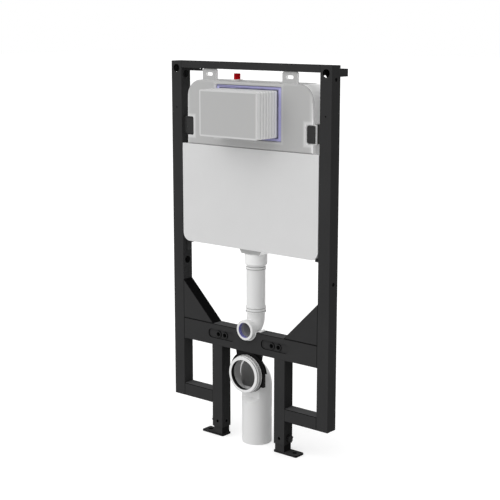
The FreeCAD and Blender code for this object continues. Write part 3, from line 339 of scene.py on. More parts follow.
class Finish:
    """A material's node tree, with a principled shader and object coordinates."""

    def __init__(self, name):
        self.material = bpy.data.materials.new(name)
        self.material.use_nodes = True
        self.tree = self.material.node_tree
        self.shader = self.tree.nodes["Principled BSDF"]
        self.place = self.add("ShaderNodeTexCoord").outputs["Object"]

    def add(self, kind, **values):
        return add_node(self.tree, kind, **values)

    def link(self, start, end):
        self.tree.links.new(start, end)

    def noise(self, scale, detail):
        node = self.add("ShaderNodeTexNoise")
        node.inputs["Scale"].default_value = scale
        node.inputs["Detail"].default_value = detail
        self.link(self.place, node.inputs["Vector"])
        return node.outputs["Fac"]

    def spread(self, source, low, high):
        """Maps the middle of a noise to the range from low to high."""
        node = self.add("ShaderNodeMapRange")
        node.inputs["From Min"].default_value = 0.3
        node.inputs["From Max"].default_value = 0.7
        node.inputs["To Min"].default_value = low
        node.inputs["To Max"].default_value = high
        self.link(source, node.inputs["Value"])
        return node.outputs["Result"]

    def tint(self, source, colour, dark, light):
        """Varies a colour between two shades of it, by a noise."""
        node = self.add("ShaderNodeMix", data_type="RGBA")
        node.inputs[6].default_value = (*shade(colour, dark), 1.0)
        node.inputs[7].default_value = (*shade(colour, light), 1.0)
        self.link(source, node.inputs["Factor"])
        return node.outputs[2]

    def lay(self, factor, under, over):
        """Lays a colour over a colour socket."""
        node = self.add("ShaderNodeMix", data_type="RGBA")
        self.link(under, node.inputs[6])
        node.inputs[7].default_value = (*over, 1.0)
        self.link(factor, node.inputs["Factor"])
        return node.outputs[2]

    def maths(self, operation, first, second=None):
        """One Math node, from sockets or numbers."""
        node = self.add("ShaderNodeMath", operation=operation)
        for number, value in enumerate((first, second)):
            if isinstance(value, float):
                node.inputs[number].default_value = value
            elif value is not None:
                self.link(value, node.inputs[number])
        return node.outputs["Value"]

    def coordinate(self, axis):
        """Where the surface lies along X, Y or Z."""
        parts = self.add("ShaderNodeSeparateXYZ")
        self.link(self.place, parts.inputs["Vector"])
        return parts.outputs[axis]

    def away(self, source, middle):
        """Distance of a value from a middle."""
        return self.maths("ABSOLUTE", self.maths("SUBTRACT", source, middle))

    def off_middle(self, axis, middle):
        """Distance from a plane across X, Y or Z."""
        return self.away(self.coordinate(axis), middle)

    def outside(self, middle_x, half_x, middle_z, half_z):
        """Distance outside a box seen from the front, negative inside it."""
        across = self.maths("SUBTRACT", self.off_middle("X", middle_x), half_x)
        up = self.maths("SUBTRACT", self.off_middle("Z", middle_z), half_z)
        return self.maths("MAXIMUM", across, up)

    def band(self, distance, full, none):
        """One up to the first distance, falling to zero at the second."""
        node = self.add("ShaderNodeMapRange", interpolation_type="SMOOTHSTEP")
        node.inputs["From Min"].default_value = full
        node.inputs["From Max"].default_value = none
        node.inputs["To Min"].default_value = 1.0
        node.inputs["To Max"].default_value = 0.0
        self.link(distance, node.inputs["Value"])
        return node.outputs["Result"]

    def colour(self, socket):
        self.link(socket, self.shader.inputs["Base Color"])

    def roughness(self, pattern, low, high):
        uneven = self.spread(self.noise(*pattern), low, high)
        self.link(uneven, self.shader.inputs["Roughness"])

    def shine(self, level):
        self.shader.inputs["Specular IOR Level"].default_value = level

    def bump(self, *layers):
        """Stacks bump layers, each a height socket with its depth in metres."""
        normal = None
        for height, depth in layers:
            node = self.add("ShaderNodeBump")
            node.inputs["Strength"].default_value = 1.0
            node.inputs["Distance"].default_value = depth
            self.link(height, node.inputs["Height"])
            if normal:
                self.link(normal, node.inputs["Normal"])
            normal = node.outputs["Normal"]
        self.link(normal, self.shader.inputs["Normal"])


def shade(colour, factor):
    """A darker or lighter shade of a colour."""
    return tuple(min(1.0, part * factor) for part in colour)


def powder_coat(name, colour, rough=0.5, seams=(), seam_colour=None):
    """Satin powder coat: fine orange peel, faint cloudiness, dark lines along welded seams."""
    made = Finish(name)
    coat = made.tint(made.noise(*CLOUDS), colour, 0.90, 1.10)
    for axis, middle, distance in seams:
        off = made.away(made.off_middle(axis, middle), distance)
        line = made.band(off, full=SEAM_HALF * 0.6, none=SEAM_HALF)
        coat = made.lay(line, coat, seam_colour)
    made.colour(coat)
    made.roughness(COAT_GLOSS, rough - 0.05, rough + 0.07)
    made.bump((made.noise(*COAT_PEEL), 0.04 * MM), (made.noise(*COAT_DIMPLES), 0.05 * MM))
    made.shine(0.0)
    return made.material


def moulded(name, colour, rough, gloss, mottle=0.05, grain=MOULD_GRAIN, depth=0.03 * MM):
    """Moulded plastic: faint flow marks, a fine grain and uneven gloss."""
    made = Finish(name)
    made.colour(made.tint(made.noise(*FLOW_MARKS), colour, 1.0 - mottle, 1.0 + mottle))
    made.roughness(MOULD_GLOSS, rough - 0.06, rough + 0.08)
    made.bump((made.noise(*grain), depth))
    made.shine(gloss)
    return made.material


def pipe_plastic(name, colour, rough, gloss=0.2, mottle=0.008):
    """Smooth plastic of the pipes, with a finer grain."""
    return moulded(name, colour, rough, gloss, mottle, PIPE_GRAIN, 0.01 * MM)


def pipe_with_shade_lines(name, colour, shade_colour, axis, places, half):
    """Pipe plastic with dark lines of painted shade at some places along one axis."""
    made = Finish(name)
    coat = made.tint(made.noise(*FLOW_MARKS), colour, 0.98, 1.02)
    for place in places:
        line = made.band(made.off_middle(axis, place), full=half * 0.5, none=half)
        coat = made.lay(line, coat, shade_colour)
    made.colour(coat)
    made.roughness(MOULD_GLOSS, 0.27, 0.34)
    made.bump((made.noise(*PIPE_GRAIN), 0.01 * MM))
    made.shine(0.2)
    return made.material


def thin_plastic(name, colour, pale=None, rims=()):
    """Plastic of the cistern. Its rims are painted paler at the front: painted highlights that
    stand in for light through the thin walls.

    Each rim is a function that makes its mask, and a strength."""
    made = Finish(name)
    coat = made.tint(made.noise(*FLOW_MARKS), colour, 0.98, 1.02)
    for mask, strength in rims:
        front = made.maths("LESS_THAN", made.coordinate("Y"), 0.0)
        factor = made.maths("MULTIPLY", made.maths("MULTIPLY", mask(made), strength), front)
        coat = made.lay(factor, coat, pale)
    made.colour(coat)
    made.roughness(MOULD_GLOSS, 0.36, 0.50)
    made.bump((made.noise(*TANK_GRAIN), 0.03 * MM), (made.noise(*TANK_WAVES), 0.3 * MM))
    return made.material


def notch_highlight(made):
    """Round the notches, which stand on both sides of the middle."""
    offset, half_x, middle_z, half_z = NOTCH
    across = made.away(made.off_middle("X", MIDDLE), offset)
    across = made.maths("SUBTRACT", across, half_x)
    up = made.maths("SUBTRACT", made.off_middle("Z", middle_z), half_z)
    return made.band(made.maths("MAXIMUM", across, up), full=0.002, none=0.012)


def seat_highlight(made):
    return made.band(made.outside(*SEAT), full=0.002, none=0.009)


def flank_highlight(made):
    inner = made.maths("SUBTRACT", TANK_HALF, made.off_middle("X", MIDDLE))
    return made.band(inner, full=0.003, none=0.016)


def hood_highlight(made):
    return made.band(made.maths("ABSOLUTE", made.outside(*HOOD)), full=0.0036, none=0.0055)


# Painted highlights round the notches, the seat, the sides and the hood.
TANK_HIGHLIGHTS = ((notch_highlight, 0.55), (seat_highlight, 0.22), (flank_highlight, 0.30))
HOOD_HIGHLIGHTS = ((hood_highlight, 0.5),)


def painted_glow(material, strength):
    """Painted light: a faint white glow, standing in for light through a thin wall."""
    shader = material.node_tree.nodes["Principled BSDF"]
    shader.inputs["Emission Color"].default_value = (1.0, 1.0, 1.0, 1.0)
    shader.inputs["Emission Strength"].default_value = strength
    return material


def lit_rib_side(name, lit_land, rib_gap_shade, fold):
    """The side of the hood: pale lit lands, painted shade in the grooves, a painted shadow at
    its foot against the seal.
    """
    made = Finish(name)
    coat = made.tint(made.noise(*CLOUDS), lit_land, 0.98, 1.02)
    depth = made.coordinate("Y")
    behind = made.maths("SUBTRACT", depth, RIB_START)
    place = made.maths("FRACT", made.maths("DIVIDE", behind, RIB_PITCH))
    off = made.away(place, RIB_SHARE / 2.0)
    ribbed = made.maths("GREATER_THAN", behind, -0.5 * MM)
    line = made.band(off, full=RIB_SHARE * 0.35, none=RIB_SHARE * 0.6)
    coat = made.lay(made.maths("MULTIPLY", line, ribbed), coat, rib_gap_shade)
    wave = made.maths("MULTIPLY", made.noise(*FOOT_WAVES), 6.0 * MM)
    foot = made.maths("SUBTRACT", made.maths("SUBTRACT", HOOD_FOOT, depth), wave)
    made.colour(made.lay(made.band(foot, full=-0.6 * MM, none=0.6 * MM), coat, fold))
    made.roughness(MOULD_GLOSS, 0.38, 0.50)
    made.bump((made.noise(*TANK_GRAIN), 0.03 * MM))
    return made.material


def shaded_foam(name, colour, fold):
    """Foam seal: painted shade against the hood and along its outer sides, its own colour
    between.
    """
    made = Finish(name)
    coat = made.tint(made.noise(*FOAM_CLOUDS), colour, 0.9, 1.1)
    wave = made.maths("MULTIPLY", made.noise(*FOAM_WAVES), 3.0 * MM)
    near = made.maths("SUBTRACT", made.outside(*HOOD), wave)
    inner = made.maths("SUBTRACT", SEAL_HALF, made.off_middle("X", MIDDLE))
    for distance, full, none, over in (
            (near, 1.2, 4.0, shade(colour, 0.65)), (near, -0.2, 1.0, fold),
            (inner, 2.2, 3.4, shade(colour, 0.60)), (inner, 0.8, 1.6, fold)):
        coat = made.lay(made.band(distance, full * MM, none * MM), coat, over)
    made.colour(coat)
    made.roughness(SOFT_GLOSS, 0.67, 0.85)
    made.bump((made.noise(*SOFT_PITS), 0.04 * MM))
    return made.material


def foam_board(name, colour):
    """Closed cell foam sheet: small beads under a matt skin."""
    made = Finish(name)
    beads = made.add("ShaderNodeTexVoronoi", feature="SMOOTH_F1")
    beads.inputs["Scale"].default_value = BOARD_BEADS
    made.link(made.place, beads.inputs["Vector"])
    made.colour(made.tint(made.noise(*BOARD_CLOUDS), colour, 0.97, 1.02))
    made.roughness(BOARD_GLOSS, 0.55, 0.70)
    made.bump((beads.outputs["Distance"], 0.05 * MM), (made.noise(*BOARD_WAVES), 0.06 * MM))
    return made.material


def rubber(name, colour):
    """Moulded rubber: matt, with a fine pitted skin."""
    made = Finish(name)
    made.colour(made.tint(made.noise(*RUBBER_CLOUDS), colour, 0.85, 1.15))
    made.roughness(SOFT_GLOSS, 0.52, 0.70)
    made.bump((made.noise(*SOFT_PITS), 0.04 * MM))
    made.shine(0.15)
    return made.material


def ribbed_cap(name, colour):
    """Red cap with fine upright ribs round its side, painted darker on their sides as shade
    and lighter on their crests as highlights.
    """
    made = Finish(name)
    across = made.maths("SUBTRACT", made.coordinate("X"), CAP_AXIS[0])
    along = made.maths("SUBTRACT", made.coordinate("Y"), CAP_AXIS[1])
    angle = made.maths("ARCTAN2", across, along)
    wave = made.maths("SINE", made.maths("MULTIPLY", angle, CAP_RIBS))
    rib_shading = made.maths("ADD", made.maths("MULTIPLY", wave, 0.5), 0.5)
    made.colour(made.tint(rib_shading, colour, 0.55, 1.2))
    made.roughness(CAP_GLOSS, 0.35, 0.45)
    made.bump((wave, 0.3 * MM))
    made.shine(0.05)
    return made.material


def plated_steel(name, colour, rough):
    """Dark plated steel with fine turning marks."""
    made = Finish(name)
    made.shader.inputs["Metallic"].default_value = 0.9
    made.colour(made.tint(made.noise(*STEEL_CLOUDS), colour, 0.8, 1.2))
    made.roughness(STEEL_GLOSS, rough - 0.08, rough + 0.10)
    made.bump((made.noise(*TURNING_MARKS), 0.02 * MM))
    return made.material


def painted(name, paint, joint, seams=()):
    """Powder coat of some of the steelwork, with the darker one of its edges and seams:
    painted shade on the edges, dark joints at the seams.
    """
    return (powder_coat(name, paint, seams=seams, seam_colour=joint),
            powder_coat(name + "_edge_shade", joint))


# FINISHES holds the base and edge finish of each slot of the record and of each special look,
# EXTRAS the finishes for some faces of a piece, mostly painted light and painted shade.
# Edge finishes lighter than their base are painted highlights along the bevels, darker ones
# painted shade.
FINISHES = {}
EXTRAS = {}


def make_finishes():
    """Makes all the finishes from the settings."""
    steel, plastic, _ = settings()
    paint, joint, foot = tuple(steel.paint), tuple(steel.joint), tuple(steel.foot)
    tank, hood, panel = tuple(plastic.tank), tuple(plastic.hood), tuple(plastic.panel)
    pipe, lit_side = tuple(plastic.pipe), tuple(plastic.lit_side)
    seal, fold, cap = tuple(plastic.seal), tuple(plastic.seal_shade), tuple(plastic.cap)
    black, clip = tuple(plastic.black), tuple(plastic.clip)
    pale = (plastic.rim,) * 3
    FINISHES.update({
        "frame_paint": painted("frame_paint", paint, joint),
        # Painted highlights: the pale rims and the pale bevelled edges of cistern and hood.
        "tank_plastic": (
            thin_plastic("tank_plastic", tank, pale, TANK_HIGHLIGHTS),
            thin_plastic("tank_plastic_edge", pale)),
        "hood_plastic": (
            thin_plastic("hood_plastic", hood, pale, HOOD_HIGHLIGHTS),
            thin_plastic("hood_plastic_edge", shade(pale, 0.95))),
        "seal_blue": (
            shaded_foam("seal_foam", seal, fold),
            shaded_foam("seal_foam_edge", seal, fold)),
        "foam_panel": (
            foam_board("panel_foam", panel),
            foam_board("panel_foam_edge", shade(panel, 1.05))),
        "red_plastic": (
            ribbed_cap("cap_red", cap),
            moulded("cap_red_edge", shade(cap, 0.9), 0.4, gloss=0.05)),
        "white_plastic": (
            pipe_plastic("pipe_white", pipe, 0.36),
            pipe_plastic("pipe_white_edge", shade(pipe, 0.96), 0.34)),
        "blue_rubber": (
            rubber("mouth_seal_blue", BLUE_SEAL),
            rubber("mouth_seal_blue_edge", BLUE_SEAL_HIGHLIGHT)),
        "black_rubber": (
            rubber("mouth_seal_black", BLACK_SEAL),
            rubber("mouth_seal_black_edge", BLACK_SEAL_HIGHLIGHT)),
        "black_plastic": (
            moulded("black_plastic", black, 0.5, gloss=0.06),
            moulded("black_plastic_edge", shade(black, 2.0), 0.5, gloss=0.06)),
        # Painted shade: dark lines and darker edges on the flush pipe and the waste ring.
        "flush_shade_lines": (
            pipe_with_shade_lines("flush_shade_lined", shade(pipe, 1.03), shade(pipe, 0.30),
                       "Z", FLUSH_SHADE_LINES, FLUSH_SHADE_HALF),
            pipe_plastic("flush_shade_lined_edge", shade(pipe, 0.6), 0.4, gloss=0.5, mottle=0.02)),
        # Painted light: the outlet nut is painted lighter than the pipes against the shadow of
        # the cistern; its edges get painted shade.
        "lit_nut": (
            pipe_plastic("lit_nut", shade(pipe, 1.2), 0.36),
            pipe_plastic("lit_nut_edge", shade(pipe, 0.8), 0.36)),
        "ring_shade_lines": (
            pipe_with_shade_lines("ring_shade_lined", shade(pipe, 1.05), shade(pipe, 0.30),
                       "Y", RING_SHADE_LINES, RING_SHADE_HALF),
            pipe_plastic("ring_shade_lined_edge", shade(pipe, 0.9), 0.3, gloss=0.5, mottle=0.02)),
        "weld_paint": painted("weld_paint", paint, joint, WELD_SEAMS),
        "rail_paint": painted("rail_paint", paint, joint, RAIL_SEAMS),
        "foot_paint": painted("foot_paint", foot, joint),
        "clip_plastic": (
            moulded("clip_plastic", clip, 0.5, gloss=0.06),
            moulded("clip_plastic_edge", black, 0.5, gloss=0.06)),
        "dark_steel": (
            plated_steel("dark_steel", DARK_STEEL, 0.38),
            plated_steel("dark_steel_edge", DARK_STEEL_HIGHLIGHT, 0.32)),
    })
    EXTRAS.update({
        "hollow": powder_coat("frame_hollow", tuple(steel.hollow), rough=0.6),
        "stem_shade": powder_coat("foot_stem_shade", shade(foot, 0.35)),
        # Painted shade: darker copies of the paint for shaded sides, and a lighter one for lit
        # tops.
        "side_shade": powder_coat("frame_side_shade", shade(paint, 0.70)),
        "lit_top": powder_coat("frame_lit_top", shade(paint, 1.8)),
        "tank_lit_side": painted_glow(thin_plastic("tank_lit_side", lit_side), plastic.through),
        "tank_corner": thin_plastic("tank_corner", CORNER_GLINT),
        "lit_socket_ledge": painted_glow(
            pipe_plastic("lit_socket_ledge", shade(pipe, 1.25), 0.4, gloss=0.5, mottle=0.02),
            plastic.ledge),
        "hood_lit_side": lit_rib_side("hood_lit_side", lit_side, tuple(plastic.rib_gap_shade), fold),
        "pipe_bore_shade": pipe_plastic("pipe_bore_shade", tuple(plastic.inside), 0.5, mottle=0.02),
    })


def coat_nodes():
    """Gives each node of the frame the base finish of its slot."""
    for node, thing in frame["nodes"].items():
        base, _ = FINISHES[NODE_SLOTS[node]]
        thing.data.materials.clear()
        thing.data.materials.append(base)


class FRAME_OT_materials(bpy.types.Operator):
    """Makes the finishes and gives them to the nodes"""

    bl_idname = "toilet_frame.materials"
    bl_label = "Finishes"

    def execute(self, context):
        make_finishes()
        coat_nodes()
        return {"FINISHED"}


# Helpers


def deselect_all():
    if bpy.context.object and bpy.context.object.mode != "OBJECT":
        bpy.ops.object.mode_set(mode="OBJECT")
    bpy.ops.object.select_all(action="DESELECT")


def choose(piece):
    deselect_all()
    piece.select_set(True)
    bpy.context.view_layer.objects.active = piece


def edit(piece):
    """Goes to edit mode on one piece, with nothing selected."""
    choose(piece)
    bpy.ops.object.mode_set(mode="EDIT")
    bpy.ops.mesh.select_all(action="DESELECT")


def done():
    bpy.ops.object.mode_set(mode="OBJECT")


def join_to(piece, addition):
    """Joins one object to a piece, which stays."""
    deselect_all()
    addition.select_set(True)
    piece.select_set(True)
    bpy.context.view_layer.objects.active = piece
    bpy.ops.object.join()


def apply_modifier(piece, kind, name, **values):
    choose(piece)
    modifier = piece.modifiers.new(name, kind)
    for key, value in values.items():
        setattr(modifier, key, value)
    bpy.ops.object.modifier_apply(modifier=modifier.name)


def soften(piece, width, segments=2):
    """Bevels the sharp edges, in the edge finish, and smooths the rest."""
    apply_modifier(piece, "BEVEL", "soft_edge", width=width, segments=segments,
                   limit_method="ANGLE", angle_limit=math.radians(SHARP), material=1)
    choose(piece)
    bpy.ops.object.shade_smooth_by_angle(angle=math.radians(SHARP))
    apply_modifier(piece, "WEIGHTED_NORMAL", "even_shading", keep_sharp=True)


def finish_piece(piece, node, look=None):
    """Gives a piece the finishes of its slot or look, parents it to its node's body and hides
    the node.
    """
    slot = NODE_SLOTS[node]
    piece.data.materials.clear()
    for finish in FINISHES[look or slot]:
        piece.data.materials.append(finish)
    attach(piece, NODE_BODIES[node])
    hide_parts(node)


def merged_copy(node, word):
    """A copy of a node's mesh with its loose triangles joined to clean faces."""
    piece = bpy.data.objects.new(node + "_" + word, frame["nodes"][node].data.copy())
    bpy.context.scene.collection.objects.link(piece)
    edit(piece)
    bpy.ops.mesh.select_all(action="SELECT")
    bpy.ops.mesh.remove_doubles(threshold=MERGE)
    bpy.ops.mesh.dissolve_limited(angle_limit=math.radians(FLAT))
    done()
    return piece


def on_corner_arc(spot, corner, inward):
    """Whether a place lies on the rounded corner of a tube, seen along the tube."""
    steps = [(spot[axis] - corner[axis]) * way for axis, way in inward.items()]
    if max(steps) > TUBE_ROUND - TINY:
        return False
    return abs(math.hypot(*(TUBE_ROUND - step for step in steps)) - TUBE_ROUND) < TINY


def square_corners(piece, across):
    """Draws the rounded long edges of a tube out to sharp ones, given the axes across it."""
    low = [min(vertex.co[axis] for vertex in piece.data.vertices) for axis in range(3)]
    high = [max(vertex.co[axis] for vertex in piece.data.vertices) for axis in range(3)]
    keep = [0.0 if axis in across else 1.0 for axis in range(3)]
    for first in (0, 1):
        for second in (0, 1):
            corner = [0.0, 0.0, 0.0]
            inward = {}
            for axis, side in zip(across, (first, second)):
                corner[axis] = high[axis] if side else low[axis]
                inward[axis] = -1.0 if side else 1.0
            edit(piece)
            done()
            for vertex in piece.data.vertices:
                vertex.select = on_corner_arc(vertex.co, corner, inward)
            bpy.ops.object.mode_set(mode="EDIT")
            bpy.ops.mesh.select_mode(type="VERT")
            bpy.ops.transform.resize(value=keep, center_override=corner)
            done()
    edit(piece)
    bpy.ops.mesh.select_all(action="SELECT")
    bpy.ops.mesh.remove_doubles(threshold=MERGE)
    bpy.ops.mesh.dissolve_degenerate(threshold=MERGE)
    bpy.ops.mesh.dissolve_limited(angle_limit=math.radians(FLAT))
    done()


def dress(node, word, width, segments=2, look=None, across=None):
    """Joins a node's faces, softens its edges and gives it its finishes."""
    piece = merged_copy(node, word)
    if across:
        square_corners(piece, across)
    finish_piece(piece, node, look)
    soften(piece, width, segments)
    return piece


def recoat(piece, finish, test):
    """Gives one more finish to the faces that pass a test of centre and normal."""
    piece.data.materials.append(finish)
    number = len(piece.data.materials) - 1
    for face in piece.data.polygons:
        if test(face.center, face.normal):
            face.material_index = number


def recoat_small(piece, finish, longest):
    """Gives a finish to the faces whose sides are all short: the walls of holes."""
    mesh = piece.data
    mesh.materials.append(finish)
    number = len(mesh.materials) - 1
    for face in mesh.polygons:
        spots = [mesh.vertices[index].co for index in face.vertices]
        sides = [(spots[place] - spots[place - 1]).length for place in range(len(spots))]
        if max(sides) < longest:
            face.material_index = number


def everywhere(centre, normal):
    return True


def looks_sideways(centre, normal):
    return abs(normal.x) > STRAIGHT


# Steelwork

# The two axes across each kind of tube, and the look of those that are welded on.
ACROSS = {"top_rail": (1, 2), "crossbar": (1, 2), "upright": (0, 1), "leg": (0, 1),
          "lower_rail": (1, 2)}
WELDED = {"crossbar": "weld_paint", "gusset": "weld_paint", "lower_rail": "rail_paint"}


def in_recess(centre, normal):
    """The walls of the crossbar's recesses."""
    return (abs(normal.y) < PARTLY and centre.y < RECESS_FLOOR
            and abs(centre.z - STUD_HEIGHT) < RECESS_HALF)


def on_slope(centre, normal):
    """The sloping side of a gusset."""
    return abs(normal.x) > PARTLY and normal.z > PARTLY


def make_steel(node, kind):
    """A tube or a gusset of the frame."""
    steel, _, _ = settings()
    look = WELDED.get(kind)
    width = steel.seam if look else steel.edge
    piece = dress(node, "painted", width, look=look, across=ACROSS.get(kind))
    # Painted shade on the walls of holes.
    recoat_small(piece, EXTRAS["hollow"], HOLE_WALL)
    if kind in ("crossbar", "lower_rail"):
        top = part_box(node)[1].z
        # Painted light: lighter paint on the top faces of the crossbar and lower rails.
        recoat(piece, EXTRAS["lit_top"],
               lambda centre, normal: normal.z > STRAIGHT and centre.z > top - TINY)
    if kind == "leg":
        # Painted shade: darker paint on the sides of the legs.
        recoat(piece, EXTRAS["side_shade"], looks_sideways)
    if kind == "crossbar":
        # Painted shade on the walls of the crossbar's recesses.
        recoat(piece, EXTRAS["hollow"], in_recess)
    if kind == "gusset":
        # Painted shade on the gusset's sloping side.
        recoat(piece, EXTRAS["hollow"], on_slope)


class FRAME_OT_steelwork(bpy.types.Operator):
    """Dresses the uprights, rails, gussets, crossbar and legs"""

    bl_idname = "toilet_frame.steelwork"
    bl_label = "Steelwork"

    def execute(self, context):
        for kind in ("top_rail", "crossbar"):
            make_steel(kind, kind)
        for side, _ in SIDES:
            for kind in ("upright", "leg", "lower_rail", "gusset"):
                make_steel(side + "_" + kind, kind)
        return {"FINISHED"}


# Feet and brackets


def on_plate_edge(centre, normal):
    """The narrow sides of a foot plate."""
    return abs(normal.z) < HARDLY and centre.z < FOOT_PLATE


def on_stem_side(centre, normal):
    """The left and right sides of the tube that slides in the leg."""
    return looks_sideways(centre, normal) and centre.z > FOOT_PLATE


def make_knob(node, side):
    """The screw that locks a leg, with a lobed knob on its outer end."""
    piece = merged_copy(node, "moulded")
    deselect_all()
    axis = (MIDDLE + side * KNOB_PLACE[0], KNOB_PLACE[1], KNOB_PLACE[2])
    spot = (axis[0] + side * KNOB_HEIGHT / 2.0, axis[1], axis[2])
    bpy.ops.mesh.primitive_cylinder_add(
        vertices=KNOB_LOBES * LOBE_STEPS, radius=KNOB_RADIUS, depth=KNOB_HEIGHT,
        location=spot, rotation=(0.0, math.pi / 2.0, 0.0))
    knob = bpy.context.object
    bpy.ops.object.transform_apply(location=True, rotation=True, scale=True)
    edit(knob)
    done()
    for face in knob.data.polygons:
        angle = math.atan2(face.center.z - axis[2], face.center.y - axis[1])
        turn = angle / (2.0 * math.pi) * KNOB_LOBES
        face.select = abs(face.normal.x) < PARTLY and turn % 1.0 < 0.5
    bpy.ops.object.mode_set(mode="EDIT")
    bpy.ops.transform.resize(value=(1.0, KNOB_SWELL, KNOB_SWELL), center_override=axis)
    done()
    join_to(piece, knob)
    finish_piece(piece, node, "black_plastic")
    soften(piece, KNOB_SOFT)
    recoat(piece, FINISHES["frame_paint"][0], looks_sideways)


def make_insert(node):
    """A stud insert with the round nut that stands on its flange."""
    piece = merged_copy(node, "moulded")
    edit(piece)
    done()
    for face in piece.data.polygons:
        face.select = face.normal.y < -STRAIGHT and abs(face.center.y - FLANGE_FRONT) < TINY
    bpy.ops.object.mode_set(mode="EDIT")
    bpy.ops.mesh.select_mode(type="FACE")
    bpy.ops.mesh.inset(thickness=NUT_RIM, depth=0.0, use_boundary=True)
    bpy.ops.mesh.extrude_region_move(
        TRANSFORM_OT_translate={"value": (0.0, NUT_FRONT - FLANGE_FRONT, 0.0)})
    done()
    finish_piece(piece, node)
    soften(piece, NUT_SOFT, 1)
    recoat(piece, FINISHES["frame_paint"][0],
           lambda centre, normal: normal.y < -STRAIGHT and centre.y < NUT_FRONT + TINY)


class FRAME_OT_feet(bpy.types.Operator):
    """Dresses the feet, their screws, the wall brackets, clips and inserts"""

    bl_idname = "toilet_frame.feet"
    bl_label = "Feet and brackets"

    def execute(self, context):
        steel, _, _ = settings()
        for side, way in SIDES:
            foot = dress(side + "_foot", "painted", steel.edge, look="foot_paint")
            # Painted shade: darker paint on the narrow sides of the foot plate.
            recoat(foot, EXTRAS["side_shade"], on_plate_edge)
            # Painted shade: much darker paint on the sides of the stem.
            recoat(foot, EXTRAS["stem_shade"], on_stem_side)
            # Painted shade on the walls of the holes in the foot.
            recoat_small(foot, EXTRAS["hollow"], HOLE_WALL)
            make_knob(side + "_leg_screw", way)
            for word in ("_wall_bracket", "_bracket_bolt"):
                dress(side + word, "finished", steel.edge)
            for word in ("_tank_clip", "_tank_rest"):
                dress(side + word, "moulded", steel.edge, look="clip_plastic")
            for word in ("_inner_insert", "_outer_insert"):
                make_insert(side + word)
        return {"FINISHED"}


# Cistern


def on_flank(centre, normal):
    """The sides and shoulders of the cistern, and the edges of its tabs."""
    side = abs(normal.y) < FLANK_TURN and abs(normal.x) > SHOULDER_LEAN
    tab_edge = centre.z > TANK_TOP and abs(normal.y) < STRAIGHT
    return side or tab_edge


def on_front_corner(centre, normal):
    """The soft corner between the front and a side, below the shoulders."""
    slanted = HARDLY < abs(normal.x) < CORNER_TURN and normal.y < -HARDLY
    below = centre.z < TANK_TOP - SHOULDER_DROP
    return slanted and below and abs(abs(centre.x - MIDDLE) - TANK_HALF) < CORNER_REACH


def close_corners(tank):
    """Closes the narrow slots in the shoulders of the cistern with thin strips."""
    for _, side in SIDES:
        deselect_all()
        spot = (MIDDLE + side * STRIP_PLACE[0], STRIP_PLACE[1], STRIP_PLACE[2])
        bpy.ops.mesh.primitive_cube_add(
            size=1.0, location=spot, scale=STRIP_SIZE,
            rotation=(0.0, side * math.radians(STRIP_LEAN), 0.0))
        strip = bpy.context.object
        bpy.ops.object.transform_apply(location=True, rotation=True, scale=True)
        apply_modifier(strip, "BEVEL", "soft_edge", width=STRIP_SOFT, segments=1)
        # The strips take the painted light of the cistern's sides.
        strip.data.materials.append(EXTRAS["tank_lit_side"])
        join_to(tank, strip)


class FRAME_OT_cistern(bpy.types.Operator):
    """Dresses the cistern with its hood, seal, panel and inlet"""

    bl_idname = "toilet_frame.cistern"
    bl_label = "Cistern"

    def execute(self, context):
        tank = dress("tank", "moulded", TANK_SOFT, 3)
        lug_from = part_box("tank")[0].y + LUG_BACK
        # Painted light: sides, shoulders and tab edges get the pale glowing side finish.
        recoat(tank, EXTRAS["tank_lit_side"], on_flank)
        recoat(tank, FINISHES["clip_plastic"][0],
               lambda centre, normal: normal.y < -STRAIGHT and centre.y > lug_from
               and MIDDLE - centre.x > LUG_INSIDE and abs(centre.z - NOTCH[2]) < NOTCH[3])
        # Painted highlight: a near-white strip down the soft front corners.
        recoat(tank, EXTRAS["tank_corner"], on_front_corner)
        close_corners(tank)
        hood = dress("access_hood", "moulded", HOOD_SOFT)
        # Painted light and shade: lit lands, shaded grooves and a painted shadow at the foot
        # of the hood's sides.
        recoat(hood, EXTRAS["hood_lit_side"],
               lambda centre, normal: abs(normal.y) < STRAIGHT and abs(normal.x) > PARTLY)
        dress("access_seal", "foam", SEAL_SOFT, 3)
        dress("insulation_panel", "board", PANEL_SOFT, 3)
        fitting = dress("inlet_fitting", "moulded", HOOD_SOFT)
        # Painted light: the inlet fitting gets the pale glowing side finish.
        recoat(fitting, EXTRAS["tank_lit_side"], everywhere)
        dress("inlet_cap", "moulded", CAP_SOFT, 3)
        return {"FINISHED"}


# Pipes

# Each pipe, with its own look if it has one.
PIPES = {
    "outlet_nut": "lit_nut", "pipe_ring": "flush_shade_lines", "flush_pipe": "flush_shade_lines",
    "flush_bend": "flush_shade_lines", "flush_ring": None, "flush_seal": None,
    "flush_cradle": None, "waste_bend": None, "waste_ring": "ring_shade_lines",
    "waste_seal": None, "waste_bracket": None, "left_waste_strap": None,
    "right_waste_strap": None}


def faces_line(line):
    """A test for faces that look at the middle line of a bend: level run, then upright run."""
    height, depth, end = line

    def looks_inward(centre, normal):
        near_level = Vector((MIDDLE, min(centre.y, depth), height))
        upright_z = max(centre.z, height) if end > height else min(centre.z, height)
        near_upright = Vector((MIDDLE, depth, upright_z))
        nearest = min((near_level, near_upright), key=lambda spot: (spot - centre).length)
        way = nearest - centre
        return normal.dot(way) > PARTLY * way.length

    return looks_inward


def on_ledge(centre, normal):
    """The ledge in the waste socket, where its bore ends."""
    return normal.y < -STRAIGHT and centre.y > LEDGE_FROM and centre.z > WASTE_FOOT


